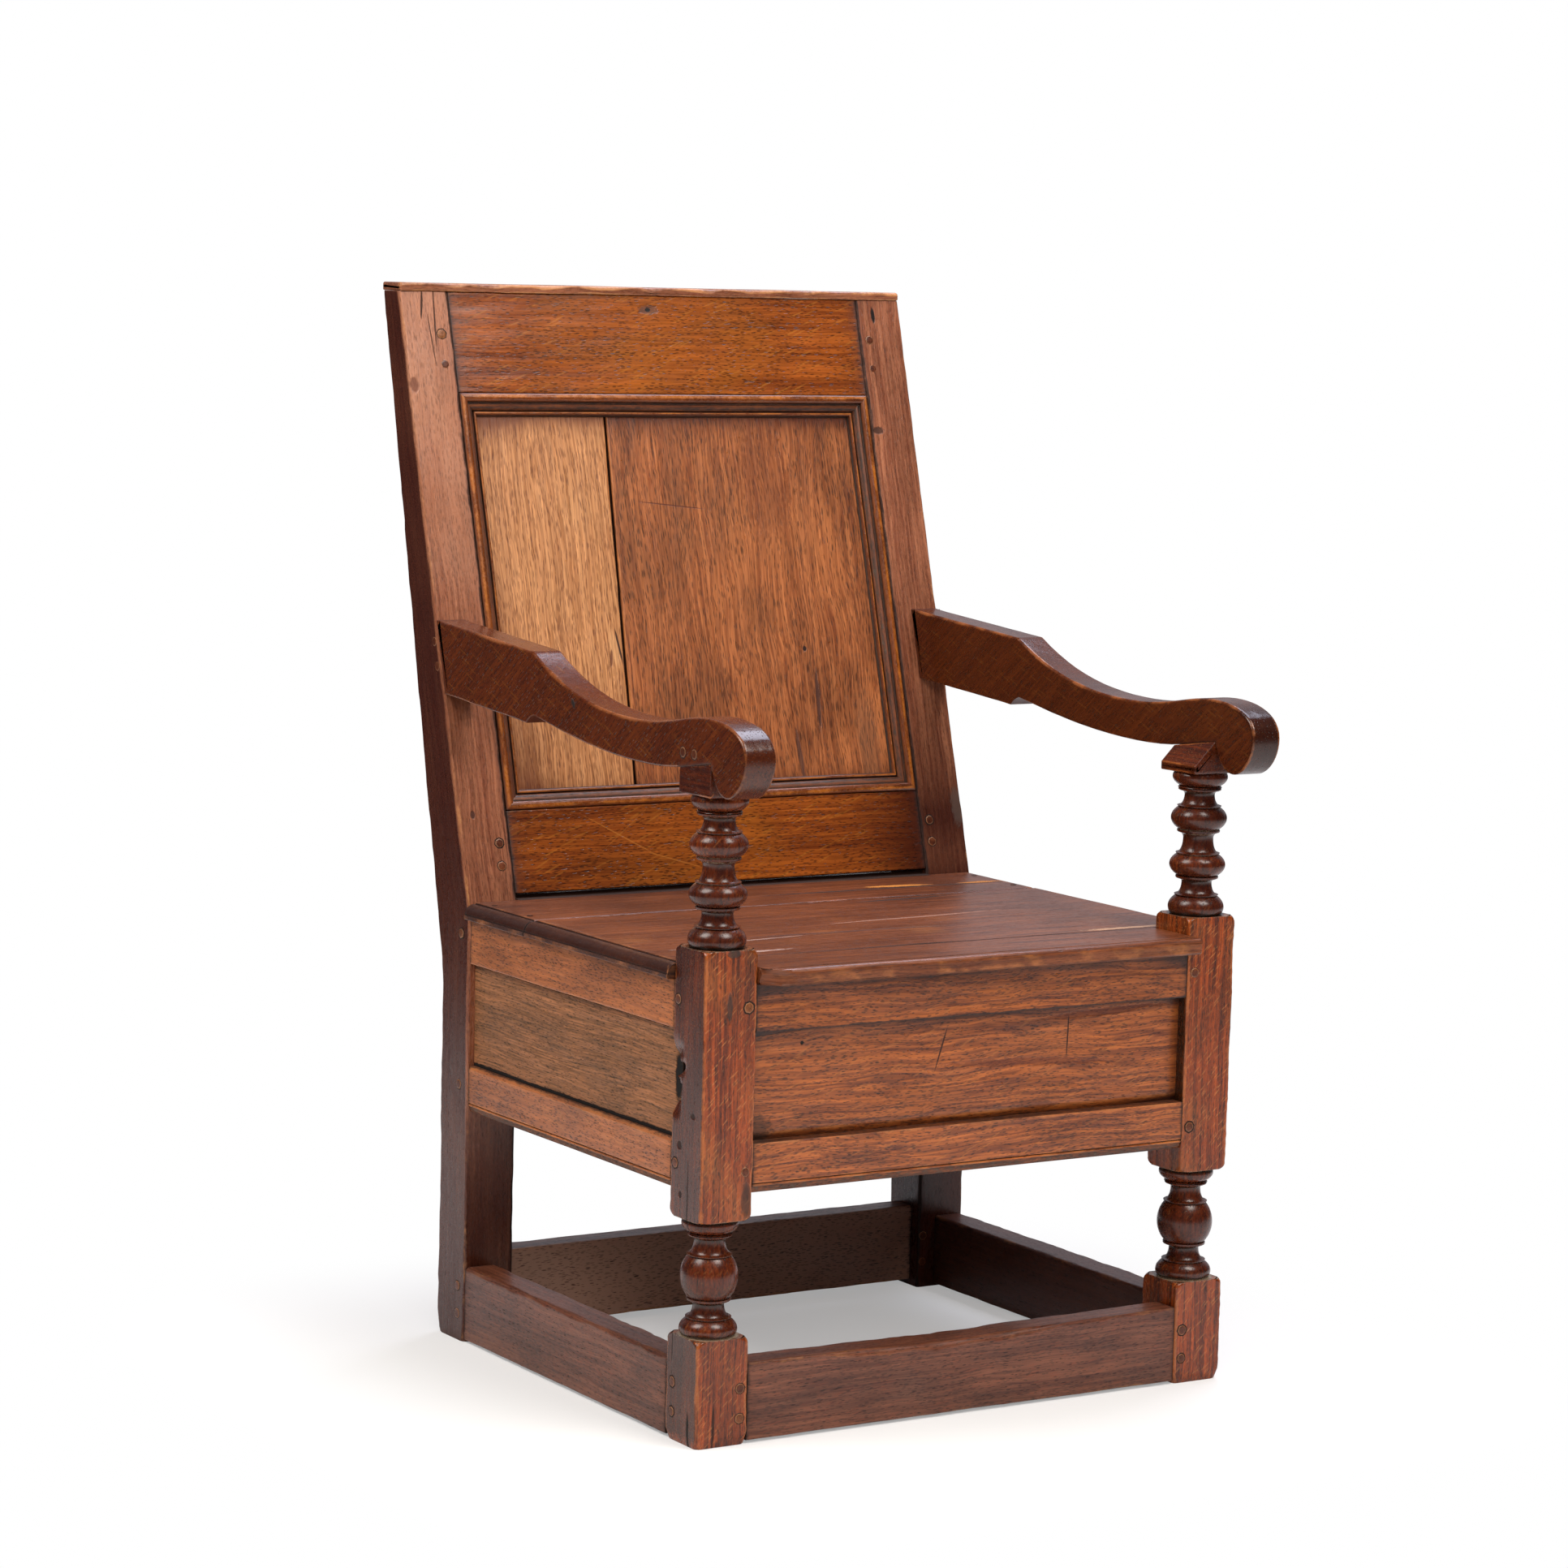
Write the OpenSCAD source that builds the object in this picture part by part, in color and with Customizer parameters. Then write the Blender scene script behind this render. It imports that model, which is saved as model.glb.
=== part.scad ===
// Joined oak armchair: a raking panelled back, a seat box with a lifting seat, turned front posts,
// scrolled arms and a ring of stretchers on the floor. Millimetres, Z up.
// The joinery is drawn with y = 0 at the front of the posts. stand() then moves it so that the
// origin is on the floor under the middle of the whole chair, with +Y to the back.

/* [Overall] */
// Width over the posts and over the rear stiles
chair_w = 596; // [500:1:720]
// Depth on the floor, from the front of the posts to the back of the stiles
base_d = 508; // [430:1:620]
// Height of the top of the seat
seat_z = 442; // [400:1:540]
// Height of the stiles, to the underside of the cap board
stile_h = 1037; // [860:1:1250]
// Lean of the back from upright, in degrees
back_lean = 15.8; // [6:0.1:19]

/* [Posts and stiles] */
// Side of the square front posts
post_s = 55; // [48:0.5:68]
// Width of the rear stiles, seen from the front
stile_w = 54; // [46:0.5:66]
// Depth of the rear stiles below the seat
stile_d = 56; // [48:0.5:66]
// Depth of the stiles at their tops
stile_top_d = 35.5; // [33:0.5:56]
// Drop from the box's top edge to the bend in the stiles' backs
heel_drop = 60; // [20:1:90]
// Height of the front feet, up to the lower turning
foot_h = 100; // [84:1:110]
// Rise of the posts' middle block over the seat
block_rise = 16; // [10:1:30]
// Drop of the posts' middle block below the box
block_drop = 24; // [10:1:34]
// Height of the small block under each arm
arm_block_h = 31; // [28:1:44]
// Depth that the lathe cuts into a block's corners
corner_cut = 3; // [1:0.5:5]

/* [Turnings] */
// Diameter of the balls and rings
ball_d = 54; // [44:0.5:55]
// Diameter of the necks
neck_d = 29; // [22:0.5:34]
// Diameter of the fillets beside the necks
fillet_d = 40.5; // [36:0.5:43]

/* [Seat box] */
// Thickness of the seat boards
seat_t = 16; // [12:0.5:22]
// Overhang of the seat at each side
seat_side_over = 7; // [3:0.5:14]
// Overhang of the lid in front of the posts
lid_front_over = 22; // [10:0.5:30]
// Distance from the posts' fronts to the lid's rear joint
lid_hinge_y = 330; // [290:1:350]
// How far the fixed strip runs back under the panelled back
strip_tuck = 22; // [14:1:28]
// Thickness of the box's rails
rail_t = 26; // [22:0.5:30]
// Width of the upper rails
upper_rail_w = 45; // [40:1:60]
// Width of the lower rails
lower_rail_w = 46; // [42:1:60]
// Height of the box, from its lower edge to the seat's underside
box_h = 193; // [170:1:230]
// Thickness of the box's panels
panel_t = 9; // [7:0.5:11]
// Depth of the front panel behind its rails
front_panel_sink = 12; // [8:0.5:12]
// Depth of the side and rear panels behind their rails
side_panel_sink = 6; // [4:0.5:10]
// Thickness of the box's bottom boards
bottom_t = 10; // [8:0.5:14]

/* [Stretchers] */
// Width of the stretchers
stretcher_w = 73; // [50:1:78]
// Width of the rear stretcher
rear_stretcher_w = 80; // [50:1:84]
// Depth that feet have worn off the front stretcher's upper arris
stretcher_wear = 6; // [1:0.5:10]
// Thickness of the front and rear stretchers
stretcher_t = 29; // [24:0.5:32]
// Thickness of the side stretchers
side_stretcher_t = 33; // [24:0.5:36]
// Gap between the stretchers and the floor
floor_gap = 3; // [2:0.5:8]
// Gap between the rear stretcher and the floor
rear_floor_gap = 6; // [3:0.5:16]
// Set-back of the rear stretcher behind the stiles' fronts
rear_stretcher_set = 14; // [8:0.5:20]

/* [Back] */
// Width of the top rail, seen square to the back
top_rail_w = 104; // [80:1:140]
// Width of the bottom rail
bottom_rail_w = 83; // [60:1:110]
// Gap between the seat and the bottom rail
seat_gap = 5.5; // [3:0.5:10]
// Thickness of the back rails
back_rail_t = 26; // [24:0.5:30]
// Thickness of the back boards
back_panel_t = 9; // [7:0.5:10]
// Width of the moulding round the panel
moulding_w = 22; // [18:0.5:28]
// Depth of the panel behind the frame
moulding_d = 12; // [10:0.5:13]
// Place of the board joint across the panel at its top
joint_top_x = -71; // [-150:1:150]
// Place of the board joint at its bottom
joint_bottom_x = -87; // [-150:1:150]
// Open gap between the two boards
joint_gap = 1.6; // [0.5:0.1:3]
// Thickness of the cap board
cap_t = 8.5; // [6:0.5:14]
// Overhang of the cap board at its front and back
cap_over = 2; // [1:0.5:6]

/* [Arms] */
// Thickness of the arms
arm_t = 32; // [28:0.5:40]
// Height of the arms' undersides over the posts' fronts
arm_z = 628; // [600:1:680]
// Reach of the scrolls in front of the posts
arm_reach = 60; // [40:1:75]
// Slope of the arms' straight rear parts, in degrees
arm_tilt = 4; // [0:0.5:7]
// Distance from the stiles' fronts to the bend on top of the arms
arm_bend_back = 117; // [90:1:140]

/* [Joints] */
// Diameter of the pegs
peg_d = 7; // [5:0.5:9]
// How far a peg stands out of its face
peg_proud = 0.6; // [0:0.1:2]
// Length of the tenons of rails and stretchers
tenon_l = 33; // [28:0.5:33]
// Thickness of the tenons
tenon_t = 9; // [7:0.5:10]
// Depth of the panel grooves
groove_d = 8; // [5:0.5:9]
// Clearance round tenons and in panel grooves
joint_clear = 0.15; // [0.05:0.05:0.4]
// Clearance round pegs, nails and hinge leaves
fit_clear = 0.05; // [0.02:0.01:0.1]

/* [Lid hinges] */
// Distance of each hinge from the middle of the chair
hinge_x = 150; // [90:1:190]
// Diameter of the hinge pins
hinge_pin_d = 3; // [2.5:0.5:3.5]
// Diameter of the hinge knuckles
knuckle_d = 6.4; // [6:0.2:7]
// Length of one knuckle
knuckle_l = 15; // [12:1:24]
// Thickness of the hinge leaves
leaf_t = 1.6; // [1.2:0.1:2]
// Gap between the lid and the fixed strip
lid_gap = 1; // [1:0.1:2]
// Gap under the lid and beside the posts
lid_lift = 0.3; // [0.2:0.1:0.6]

/* [Hidden] */
$fn = 40;
curve_steps = 10;
eps = 0.01;

// Main lines of the frame
outer_x = chair_w / 2;
post_x = outer_x - post_s;
stile_x = outer_x - stile_w;
back_y = base_d - stile_d;
rail_top = seat_z - seat_t;
rail_set = 1;
lean_k = tan(back_lean);
function front_y(z) = back_y + max(0, z - rail_top) * lean_k;
function along(z) = (z - rail_top) / cos(back_lean);
cap_back = front_y(stile_h) + stile_top_d + cap_over;
middle_y = (cap_back - arm_reach) / 2;

// Levels of the posts
box_low = rail_top - box_h;
middle_low = box_low - block_drop;
middle_top = seat_z + block_rise;
arm_slope = -0.15;
function arm_seat(y) = arm_z + arm_slope * y;
top_low = arm_z - arm_block_h;
arm_x = outer_x - arm_t;

// Levels of the box
upper_low = rail_top - upper_rail_w;
lower_top = box_low + lower_rail_w;
run_h = 9.5;
panel_low = lower_top - groove_d;
panel_top = upper_low + groove_d - 1;
front_panel_y = rail_set + front_panel_sink;
side_panel_x = outer_x - rail_set - side_panel_sink;
rear_rail_y = base_d - rail_set - rail_t;
rear_panel_y = base_d - rail_set - side_panel_sink - panel_t;
tenon_gap = 1;
tenon_step = 6;
inner_x = outer_x - rail_set - rail_t;
bearer_s = 20;
bearer_z = box_low + 8;
bottom_z = bearer_z + bearer_s;
back_tenon_y = 8;
back_tenon_l = tenon_l + 5;
back_tenon_drop = 22;

// Tenons of the stretchers: their shoulders, and how deep they lie behind the outer faces
stretcher_shoulder = 9;
rear_tenon_l = tenon_l - 3;
front_tenon_set = 9;
side_tenon_set = 19;

// Seat and lid
seat_x = outer_x + seat_side_over;
lid_t = seat_t - lid_lift;
lid_low = seat_z - lid_t;
lid_joint_y = post_s + 2;
lid_rear_y = lid_hinge_y - lid_gap / 2;
strip_front_y = lid_hinge_y + lid_gap / 2;
hinge_z = seat_z - 4;
arris_r = 4;
batten_w = 30;
batten_t = 18;
batten_x = 185;
batten_slope = 6;
batten_front_y = rail_set + rail_t + 10;
batten_rear_y = lid_hinge_y - 30;
leaf_low = lid_low + 1.5;
hinge_half = 1.5 * knuckle_l + lid_lift;

// Back frame, measured along the slope from the seat's underside
bottom_low = along(seat_z + seat_gap);
opening_low = bottom_low + bottom_rail_w;
opening_top = along(stile_h) - top_rail_w;

// The moulding's section is drawn at this size and stretched to its own
section_w = 22;
section_d = 12;
section_k = [moulding_w / section_w, moulding_d / section_d];

// Peg places
front_peg_x = post_x + 8.5;
side_peg_y = post_s - 8;
rear_side_peg_y = back_y + 18;
upper_peg_z = rail_top - 21;
lower_peg_z = box_low + 21;
foot_peg_z = [25, 53];
side_foot_peg_y = post_s - 11.5;
rear_foot_side_peg_y = back_y + 14;
rear_foot_peg_x = stile_x + 5.5;
peg_l = 38;
rear_peg_x = stile_x + 9;
rear_peg_l = 32;
back_peg_x = stile_x + 12;
back_peg_s = [bottom_low + 28, bottom_low + 51, along(stile_h) - 75, along(stile_h) - 44];
back_peg_l = 29;
arm_peg_y = [29, 49];
arm_peg_z = arm_z + 6;
arm_peg_l = arm_t - 4;
arm_middle = arm_x + arm_t / 2;
post_tenon_y = [14, post_s - 1];
post_tenon_z = [arm_z - 14, arm_z + 22];
post_tenon_w = 14;
arm_tenon_w = 12;
arm_tenon_l = 25;
stile_tenon_low = arm_z + 30;
stile_tenon_high = arm_z + 76;
arm_stile_peg_z = [arm_z + 40.5, arm_z + 64.5];
arm_stile_peg_set = 9;

// ---------- helpers ----------
module block(low, high) translate(low) cube(high - low);

// A box made larger all round, for the mortise of a tenon
module grown(low, high, gap) block(low - [gap, gap, gap], high + [gap, gap, gap]);

// A profile in the Y-Z plane, drawn out along X
module along_x(x0, x1) translate([x0, 0, 0]) rotate([90, 0, 90]) linear_extrude(x1 - x0) children();

// A profile in the X-Z plane, drawn out along Y
module along_y(y0, y1) translate([0, y1, 0]) rotate([90, 0, 0]) linear_extrude(y1 - y0) children();

module on_side(side) {
    if (side == "right") children();
    else mirror([1, 0, 0]) children();
}

module both_sides() {
    children();
    mirror([1, 0, 0]) children();
}

// Moves the joinery to the middle of the chair
module stand() translate([0, -middle_y, 0]) children();

// The back's own plane: Z runs up the slope and Y goes square into the wood
module in_back_plane() translate([0, back_y, rail_top]) rotate([-back_lean, 0, 0]) children();

// Points of a cubic Bezier curve, without its first point
function bezier(a, b, c, d) = [for (i = [1:curve_steps]) let (t = i / curve_steps, u = 1 - t)
    a * pow(u, 3) + 3 * b * t * pow(u, 2) + 3 * c * pow(t, 2) * u + d * pow(t, 3)];

// A round peg that starts outside a face and goes into the wood along the given turn
module peg(place, turn, length, gap = 0) {
    translate(place) rotate(turn) translate([0, 0, -peg_proud - gap])
        cylinder(d = peg_d + 2 * gap, h = length + peg_proud + 2 * gap);
}

// A nail with a flat head let in flush, driven along the given turn
module nail(place, turn, length, head = 5, shank = 2.4, gap = 0) {
    translate(place) rotate(turn) {
        translate([0, 0, -gap]) cylinder(d = shank + 2 * gap, h = length + 2 * gap, $fn = 16);
        translate([0, 0, -gap]) cylinder(d = head + 2 * gap, h = 1 + 2 * gap, $fn = 16);
    }
}

// ---------- tenons, also cut as mortises ----------
module front_rail_tenon(low, high, gap = 0) {
    tenon_y = rail_set + (rail_t - tenon_t) / 2;
    grown([post_x - eps, tenon_y, low], [post_x + tenon_l, tenon_y + tenon_t, high], gap);
}

module side_rail_front_tenon(low, high, gap = 0) {
    tenon_x = outer_x - rail_set - (rail_t + tenon_t) / 2;
    grown([tenon_x, post_s - tenon_l, low], [tenon_x + tenon_t, post_s + eps, high], gap);
}

module side_rail_rear_tenon(low, high, gap = 0) {
    tenon_x = outer_x - rail_set - (rail_t + tenon_t) / 2;
    grown([tenon_x, back_y - eps, low], [tenon_x + tenon_t, back_y + tenon_l, high], gap);
}

module rear_rail_tenon(low, high, gap = 0) {
    tenon_y = rear_rail_y + (rail_t - tenon_t) / 2;
    grown([stile_x - eps, tenon_y, low], [stile_x + tenon_l, tenon_y + tenon_t, high], gap);
}

module front_stretcher_tenon(gap = 0) {
    tenon_y = rail_set + front_tenon_set;
    grown([post_x - eps, tenon_y, floor_gap + stretcher_shoulder],
          [post_x + tenon_l, tenon_y + tenon_t, floor_gap + stretcher_w - stretcher_shoulder], gap);
}

module rear_stretcher_tenon(gap = 0) {
    tenon_y = back_y + rear_stretcher_set + (stretcher_t - tenon_t) / 2;
    low = rear_floor_gap + stretcher_shoulder;
    high = rear_floor_gap + rear_stretcher_w - stretcher_shoulder;
    grown([stile_x - eps, tenon_y, low], [stile_x + rear_tenon_l, tenon_y + tenon_t, high], gap);
}

module side_stretcher_tenons(gap = 0) {
    tenon_x = outer_x - side_tenon_set;
    low = floor_gap + stretcher_shoulder;
    high = floor_gap + stretcher_w - stretcher_shoulder;
    grown([tenon_x, post_s - tenon_l, low], [tenon_x + tenon_t, post_s + eps, high], gap);
    grown([tenon_x, back_y - eps, low], [tenon_x + tenon_t, back_y + tenon_l, high], gap);
}

module back_rail_tenon(low, high, gap = 0) {
    grown([stile_x - eps, back_tenon_y, low],
          [stile_x + back_tenon_l, back_tenon_y + tenon_t, high], gap);
}

module post_top_tenon(gap = 0) {
    half = post_tenon_w / 2;
    grown([arm_middle - half, post_tenon_y[0], post_tenon_z[0]],
          [arm_middle + half, post_tenon_y[1], post_tenon_z[1]], gap);
}

module arm_rear_tenon(gap = 0) {
    half = arm_tenon_w / 2 + gap;
    reach = arm_tenon_l + gap / cos(back_lean);
    root = 4;
    along_x(arm_middle - half, arm_middle + half)
        polygon([[front_y(stile_tenon_low) - root, stile_tenon_low - gap],
                 [front_y(stile_tenon_low - gap) + reach, stile_tenon_low - gap],
                 [front_y(stile_tenon_high + gap) + reach, stile_tenon_high + gap],
                 [front_y(stile_tenon_high) - root, stile_tenon_high + gap]]);
}

// Heights of the rail tenons: each stays clear of the panel's groove
module upper_tenon_span(kind, gap) {
    low = upper_low + groove_d + tenon_gap;
    high = rail_top - tenon_step;
    if (kind == "front") front_rail_tenon(low, high, gap);
    if (kind == "side") {
        side_rail_front_tenon(low, high, gap);
        side_rail_rear_tenon(low, high, gap);
    }
    if (kind == "rear") rear_rail_tenon(low, high, gap);
}

module lower_tenon_span(kind, gap) {
    low = box_low + run_h;
    high = lower_top - groove_d - tenon_gap;
    if (kind == "front") front_rail_tenon(low, high, gap);
    if (kind == "side") {
        side_rail_front_tenon(low, high, gap);
        side_rail_rear_tenon(low, high, gap);
    }
    if (kind == "rear") rear_rail_tenon(low, high, gap);
}

// ---------- pegs, also bored with a gap (right-hand side) ----------
module front_box_peg_set(gap = 0) {
    for (z = [lower_peg_z, upper_peg_z]) peg([front_peg_x, 0, z], [-90, 0, 0], peg_l, gap);
}

module side_box_peg_set(gap = 0) {
    for (y = [side_peg_y, rear_side_peg_y], z = [lower_peg_z + 4, upper_peg_z + 4])
        peg([outer_x, y, z], [0, -90, 0], peg_l, gap);
}

module rear_box_peg_set(gap = 0) {
    for (z = [lower_peg_z, upper_peg_z])
        peg([rear_peg_x, base_d, z], [90, 0, 0], rear_peg_l, gap);
}

module stretcher_peg_set(gap = 0) {
    for (z = foot_peg_z) {
        peg([front_peg_x, 0, z], [-90, 0, 0], peg_l, gap);
        peg([outer_x, side_foot_peg_y, z + 2], [0, -90, 0], peg_l, gap);
        peg([outer_x, rear_foot_side_peg_y, z + 2], [0, -90, 0], peg_l, gap);
        peg([rear_foot_peg_x, back_y, z + 2.5], [-90, 0, 0], peg_l, gap);
    }
}

module arm_peg_set(gap = 0) {
    for (y = arm_peg_y) peg([outer_x, y, arm_peg_z], [0, -90, 0], arm_peg_l, gap);
    for (z = arm_stile_peg_z)
        peg([outer_x, front_y(z) + arm_stile_peg_set, z], [0, -90, 0], peg_l, gap);
}

// In the back's own plane
module back_peg_set(gap = 0) {
    for (s = back_peg_s) peg([back_peg_x, 0, s], [-90, 0, 0], back_peg_l, gap);
}

// ---------- turned posts ----------
// A swelling of elliptic outline between two end radii
function bulb(z, h, r_low, r_mid, r_top) = let (
        low = acos(r_low / r_mid),
        top = acos(r_top / r_mid),
        half = h / (sin(low) + sin(top)))
    [for (i = [0:2 * curve_steps]) let (a = -low + (low + top) * i / (2 * curve_steps))
        [r_mid * cos(a), z + half * (sin(low) + sin(a))]];

// A ridge, a hollow that runs up to the neck, the neck, and the fillet under the next swelling
function reel(z, ridge, hollow, neck, fillet) = let (
        r_ridge = fillet_d / 2 + 1.2,
        r_out = fillet_d / 2,
        r_neck = neck_d / 2)
    concat([[r_ridge, z + 0.4], [r_ridge, z + ridge]],
           [for (i = [0:curve_steps]) let (a = 90 - 90 * i / curve_steps)
               [r_out - (r_out - r_neck) * cos(a), z + ridge + hollow * (1 - sin(a))]],
           [[r_neck, z + ridge + hollow + neck],
            [r_out - 0.6, z + ridge + hollow + neck + 0.8],
            [r_out, z + ridge + hollow + neck + 1.4],
            [r_out, z + ridge + hollow + neck + fillet]]);

// One turned stretch, closed on the axis. parts lists bulbs as [height, mid radius] and, between
// them, reels as [ridge, hollow, neck, fillet]; the whole is stretched to fill the span
module turning(z0, z1, parts, r_end) {
    heights = [for (p = parts) len(p) == 2 ? p[0] : p[0] + p[1] + p[2] + p[3]];
    total = sum(heights, len(heights));
    k = (z1 - z0) / total;
    last = len(parts) - 1;
    outline = [for (i = [0:last]) let (p = parts[i], z = z0 + k * sum(heights, i))
        each len(p) == 2
            ? bulb(z, k * p[0], i == 0 ? r_end : fillet_d / 2 + 0.6, p[1],
                   i == last ? r_end : fillet_d / 2 + 0.6)
            : reel(z, k * p[0], k * p[1], k * p[2], k * p[3])];
    rotate_extrude($fn = 72)
        polygon(concat([[0, z0 - 1], [r_end, z0 - 1]], outline, [[r_end, z1 + 1], [0, z1 + 1]]));
}

function sum(list, count) = count == 0 ? 0 : list[count - 1] + sum(list, count - 1);

// A square block whose corners the lathe has rounded off at one end or at both
module turned_block(z0, z1, low_end, top_end) {
    reach = post_s / sqrt(2);
    rise = 9;
    low_curve = [for (i = [0:curve_steps]) let (a = 90 * i / curve_steps)
        [reach - corner_cut * (1 - sin(a)), z0 + rise * (1 - cos(a))]];
    top_curve = [for (i = [0:curve_steps]) let (a = 90 - 90 * i / curve_steps)
        [reach - corner_cut * (1 - sin(a)), z1 - rise * (1 - cos(a))]];
    intersection() {
        translate([-post_s / 2, -post_s / 2, z0]) cube([post_s, post_s, z1 - z0]);
        rotate_extrude($fn = 72)
            polygon(concat([[0, z0]], low_end ? low_curve : [[reach + 1, z0]],
                           [[reach + 1, z0 + rise], [reach + 1, z1 - rise]],
                           top_end ? top_curve : [[reach + 1, z1]], [[0, z1]]));
    }
}

module front_post_blank() {
    ball_r = ball_d / 2;
    ring_r = ball_d / 2 - 0.4;
    axis_x = outer_x - post_s / 2;
    translate([axis_x, post_s / 2, 0]) {
        turned_block(0, foot_h, false, true);
        turning(foot_h, middle_low,
                [[14.5, ball_r], [1.5, 8.5, 6, 4], [32.5, ball_r], [1.5, 8, 6.5, 4], [22, ring_r]], 24.5);
        turned_block(middle_low, middle_top, true, true);
        turning(middle_top, top_low,
                [[16.5, ball_r], [1.5, 7, 6.5, 4], [22, ball_r], [1.5, 8.5, 9, 4.5], [22, ball_r],
                 [1.5, 8, 7.5, 4.5], [14.5, ring_r]], 24.5);
    }
    // The block under the arm is bevelled on its inner side, where the arm is thinner than the post
    difference() {
        along_x(post_x, outer_x)
            polygon([[0, top_low], [post_s, top_low], [post_s, arm_seat(post_s)], [0, arm_seat(0)]]);
        along_y(-1, post_s + 1)
            polygon([[post_x - 1, arm_z - (arm_x - post_x) - 1], [arm_x, arm_z], [arm_x, arm_z + 5],
                     [post_x - 1, arm_z + 5]]);
    }
    post_top_tenon();
}

module front_post(side) color("#5f3322") stand() on_side(side) difference() {
    front_post_blank();
    upper_tenon_span("front", joint_clear);
    lower_tenon_span("front", joint_clear);
    upper_tenon_span("side", joint_clear);
    lower_tenon_span("side", joint_clear);
    front_stretcher_tenon(joint_clear);
    side_stretcher_tenons(joint_clear);
    front_panel_board(joint_clear);
    side_panel_board(joint_clear);
    front_box_peg_set(fit_clear);
    side_box_peg_set(fit_clear);
    stretcher_peg_set(fit_clear);
    arm_peg_set(fit_clear);
}

// ---------- rear stiles ----------
module rear_stile(side) color("#4a2419") stand() on_side(side) difference() {
    along_x(stile_x, outer_x)
        polygon([[back_y, 0], [back_y, rail_top], [front_y(stile_h), stile_h],
                 [front_y(stile_h) + stile_top_d, stile_h], [base_d, rail_top - heel_drop], [base_d, 0]]);
    upper_tenon_span("side", joint_clear);
    lower_tenon_span("side", joint_clear);
    upper_tenon_span("rear", joint_clear);
    lower_tenon_span("rear", joint_clear);
    side_stretcher_tenons(joint_clear);
    rear_stretcher_tenon(joint_clear);
    side_panel_board(joint_clear);
    rear_panel_board(joint_clear);
    arm_rear_tenon(joint_clear);
    in_back_plane() {
        back_rail_tenon(bottom_low + tenon_step, opening_low - groove_d - tenon_gap, joint_clear);
        back_rail_tenon(opening_top + groove_d + tenon_gap, along(stile_h) - back_tenon_drop,
                        joint_clear);
        back_groove();
        back_peg_set(fit_clear);
    }
    side_box_peg_set(fit_clear);
    rear_box_peg_set(fit_clear);
    stretcher_peg_set(fit_clear);
    arm_peg_set(fit_clear);
    cap_nail_set(fit_clear);
}

// ---------- back frame ----------
// Groove for the back boards, all round the opening
module back_groove() {
    block([-stile_x - groove_d, moulding_d - joint_clear, opening_low - groove_d],
          [stile_x + groove_d, moulding_d + back_panel_t + joint_clear, opening_top + groove_d]);
}

module back_rail(low, high, tenon_low, tenon_high) color("#8a4a1d") stand() difference() {
    intersection() {
        in_back_plane() {
            block([-stile_x, 0.5, low], [stile_x, back_rail_t, high]);
            both_sides() back_rail_tenon(tenon_low, tenon_high);
        }
        block([-outer_x, 0, 0], [outer_x, base_d * 2, stile_h]);
    }
    in_back_plane() {
        back_groove();
        both_sides() back_peg_set(fit_clear);
    }
    cap_nail_set(fit_clear);
}

module back_bottom_rail() {
    back_rail(bottom_low, opening_low, bottom_low + tenon_step, opening_low - groove_d - tenon_gap);
}

module back_top_rail() {
    back_rail(opening_top, along(stile_h) + 20, opening_top + groove_d + tenon_gap,
              along(stile_h) - back_tenon_drop);
}

// One board of the back panel. The right-hand board has a lip that laps behind the left-hand one
module back_board(side) color(side == "left" ? "#a9713c" : "#7d4526") stand() in_back_plane() {
    low = opening_low - groove_d;
    top = opening_top + groove_d - 1;
    edge = stile_x + groove_d - 1;
    sign = side == "left" ? -1 : 1;
    front_d = moulding_d;
    lap = 6;
    lip = 3.5;
    half_gap = joint_gap / 2;
    difference() {
        translate([0, front_d + back_panel_t, 0]) rotate([90, 0, 0]) linear_extrude(back_panel_t)
            polygon([[sign * edge, low], [joint_bottom_x + sign * half_gap, low],
                     [joint_top_x + sign * half_gap, top], [sign * edge, top]]);
        if (side == "left")
            translate([0, front_d + back_panel_t + 1, 0]) rotate([90, 0, 0])
                linear_extrude(lip + 1 + joint_clear)
                    polygon([[joint_bottom_x - lap - 1, low - 1], [joint_bottom_x + 5, low - 1],
                             [joint_top_x + 5, top + 1], [joint_top_x - lap - 1, top + 1]]);
        moulding_nail_set(fit_clear);
    }
    if (side == "right")
        translate([0, front_d + back_panel_t, 0]) rotate([90, 0, 0]) linear_extrude(lip)
            polygon([[joint_bottom_x + half_gap + eps, low], [joint_bottom_x - lap, low],
                     [joint_top_x - lap, top], [joint_top_x + half_gap + eps, top]]);
}

// Section of the moulding: u runs from the frame into the opening, d from the frame's face inwards
module moulding_section() {
    bead = [for (i = [0:curve_steps]) let (a = 180 - 180 * i / curve_steps)
        [4.7 + 4.2 * cos(a), 0.5 - 2.3 * sin(a)]];
    hollow = [for (i = [0:curve_steps]) let (a = 90 * i / curve_steps)
        [11.2 + 5.6 * sin(a), 9 - 5.2 * cos(a)]];
    small = [for (i = [0:curve_steps]) let (a = 180 - 180 * i / curve_steps)
        [19.2 + 1.8 * cos(a), 8.2 - 1.9 * sin(a)]];
    outline = concat([[0.2, section_d]], bead, [[9, 2.8], [10.6, 2.8], [10.6, 3.8]], hollow,
                     [[17.2, 9]], small, [[21.3, 10], [section_w, 10.6], [section_w, section_d]]);
    polygon([for (p = outline) [p[0] * section_k[0], p[1] * section_k[1]]]);
}

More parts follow.
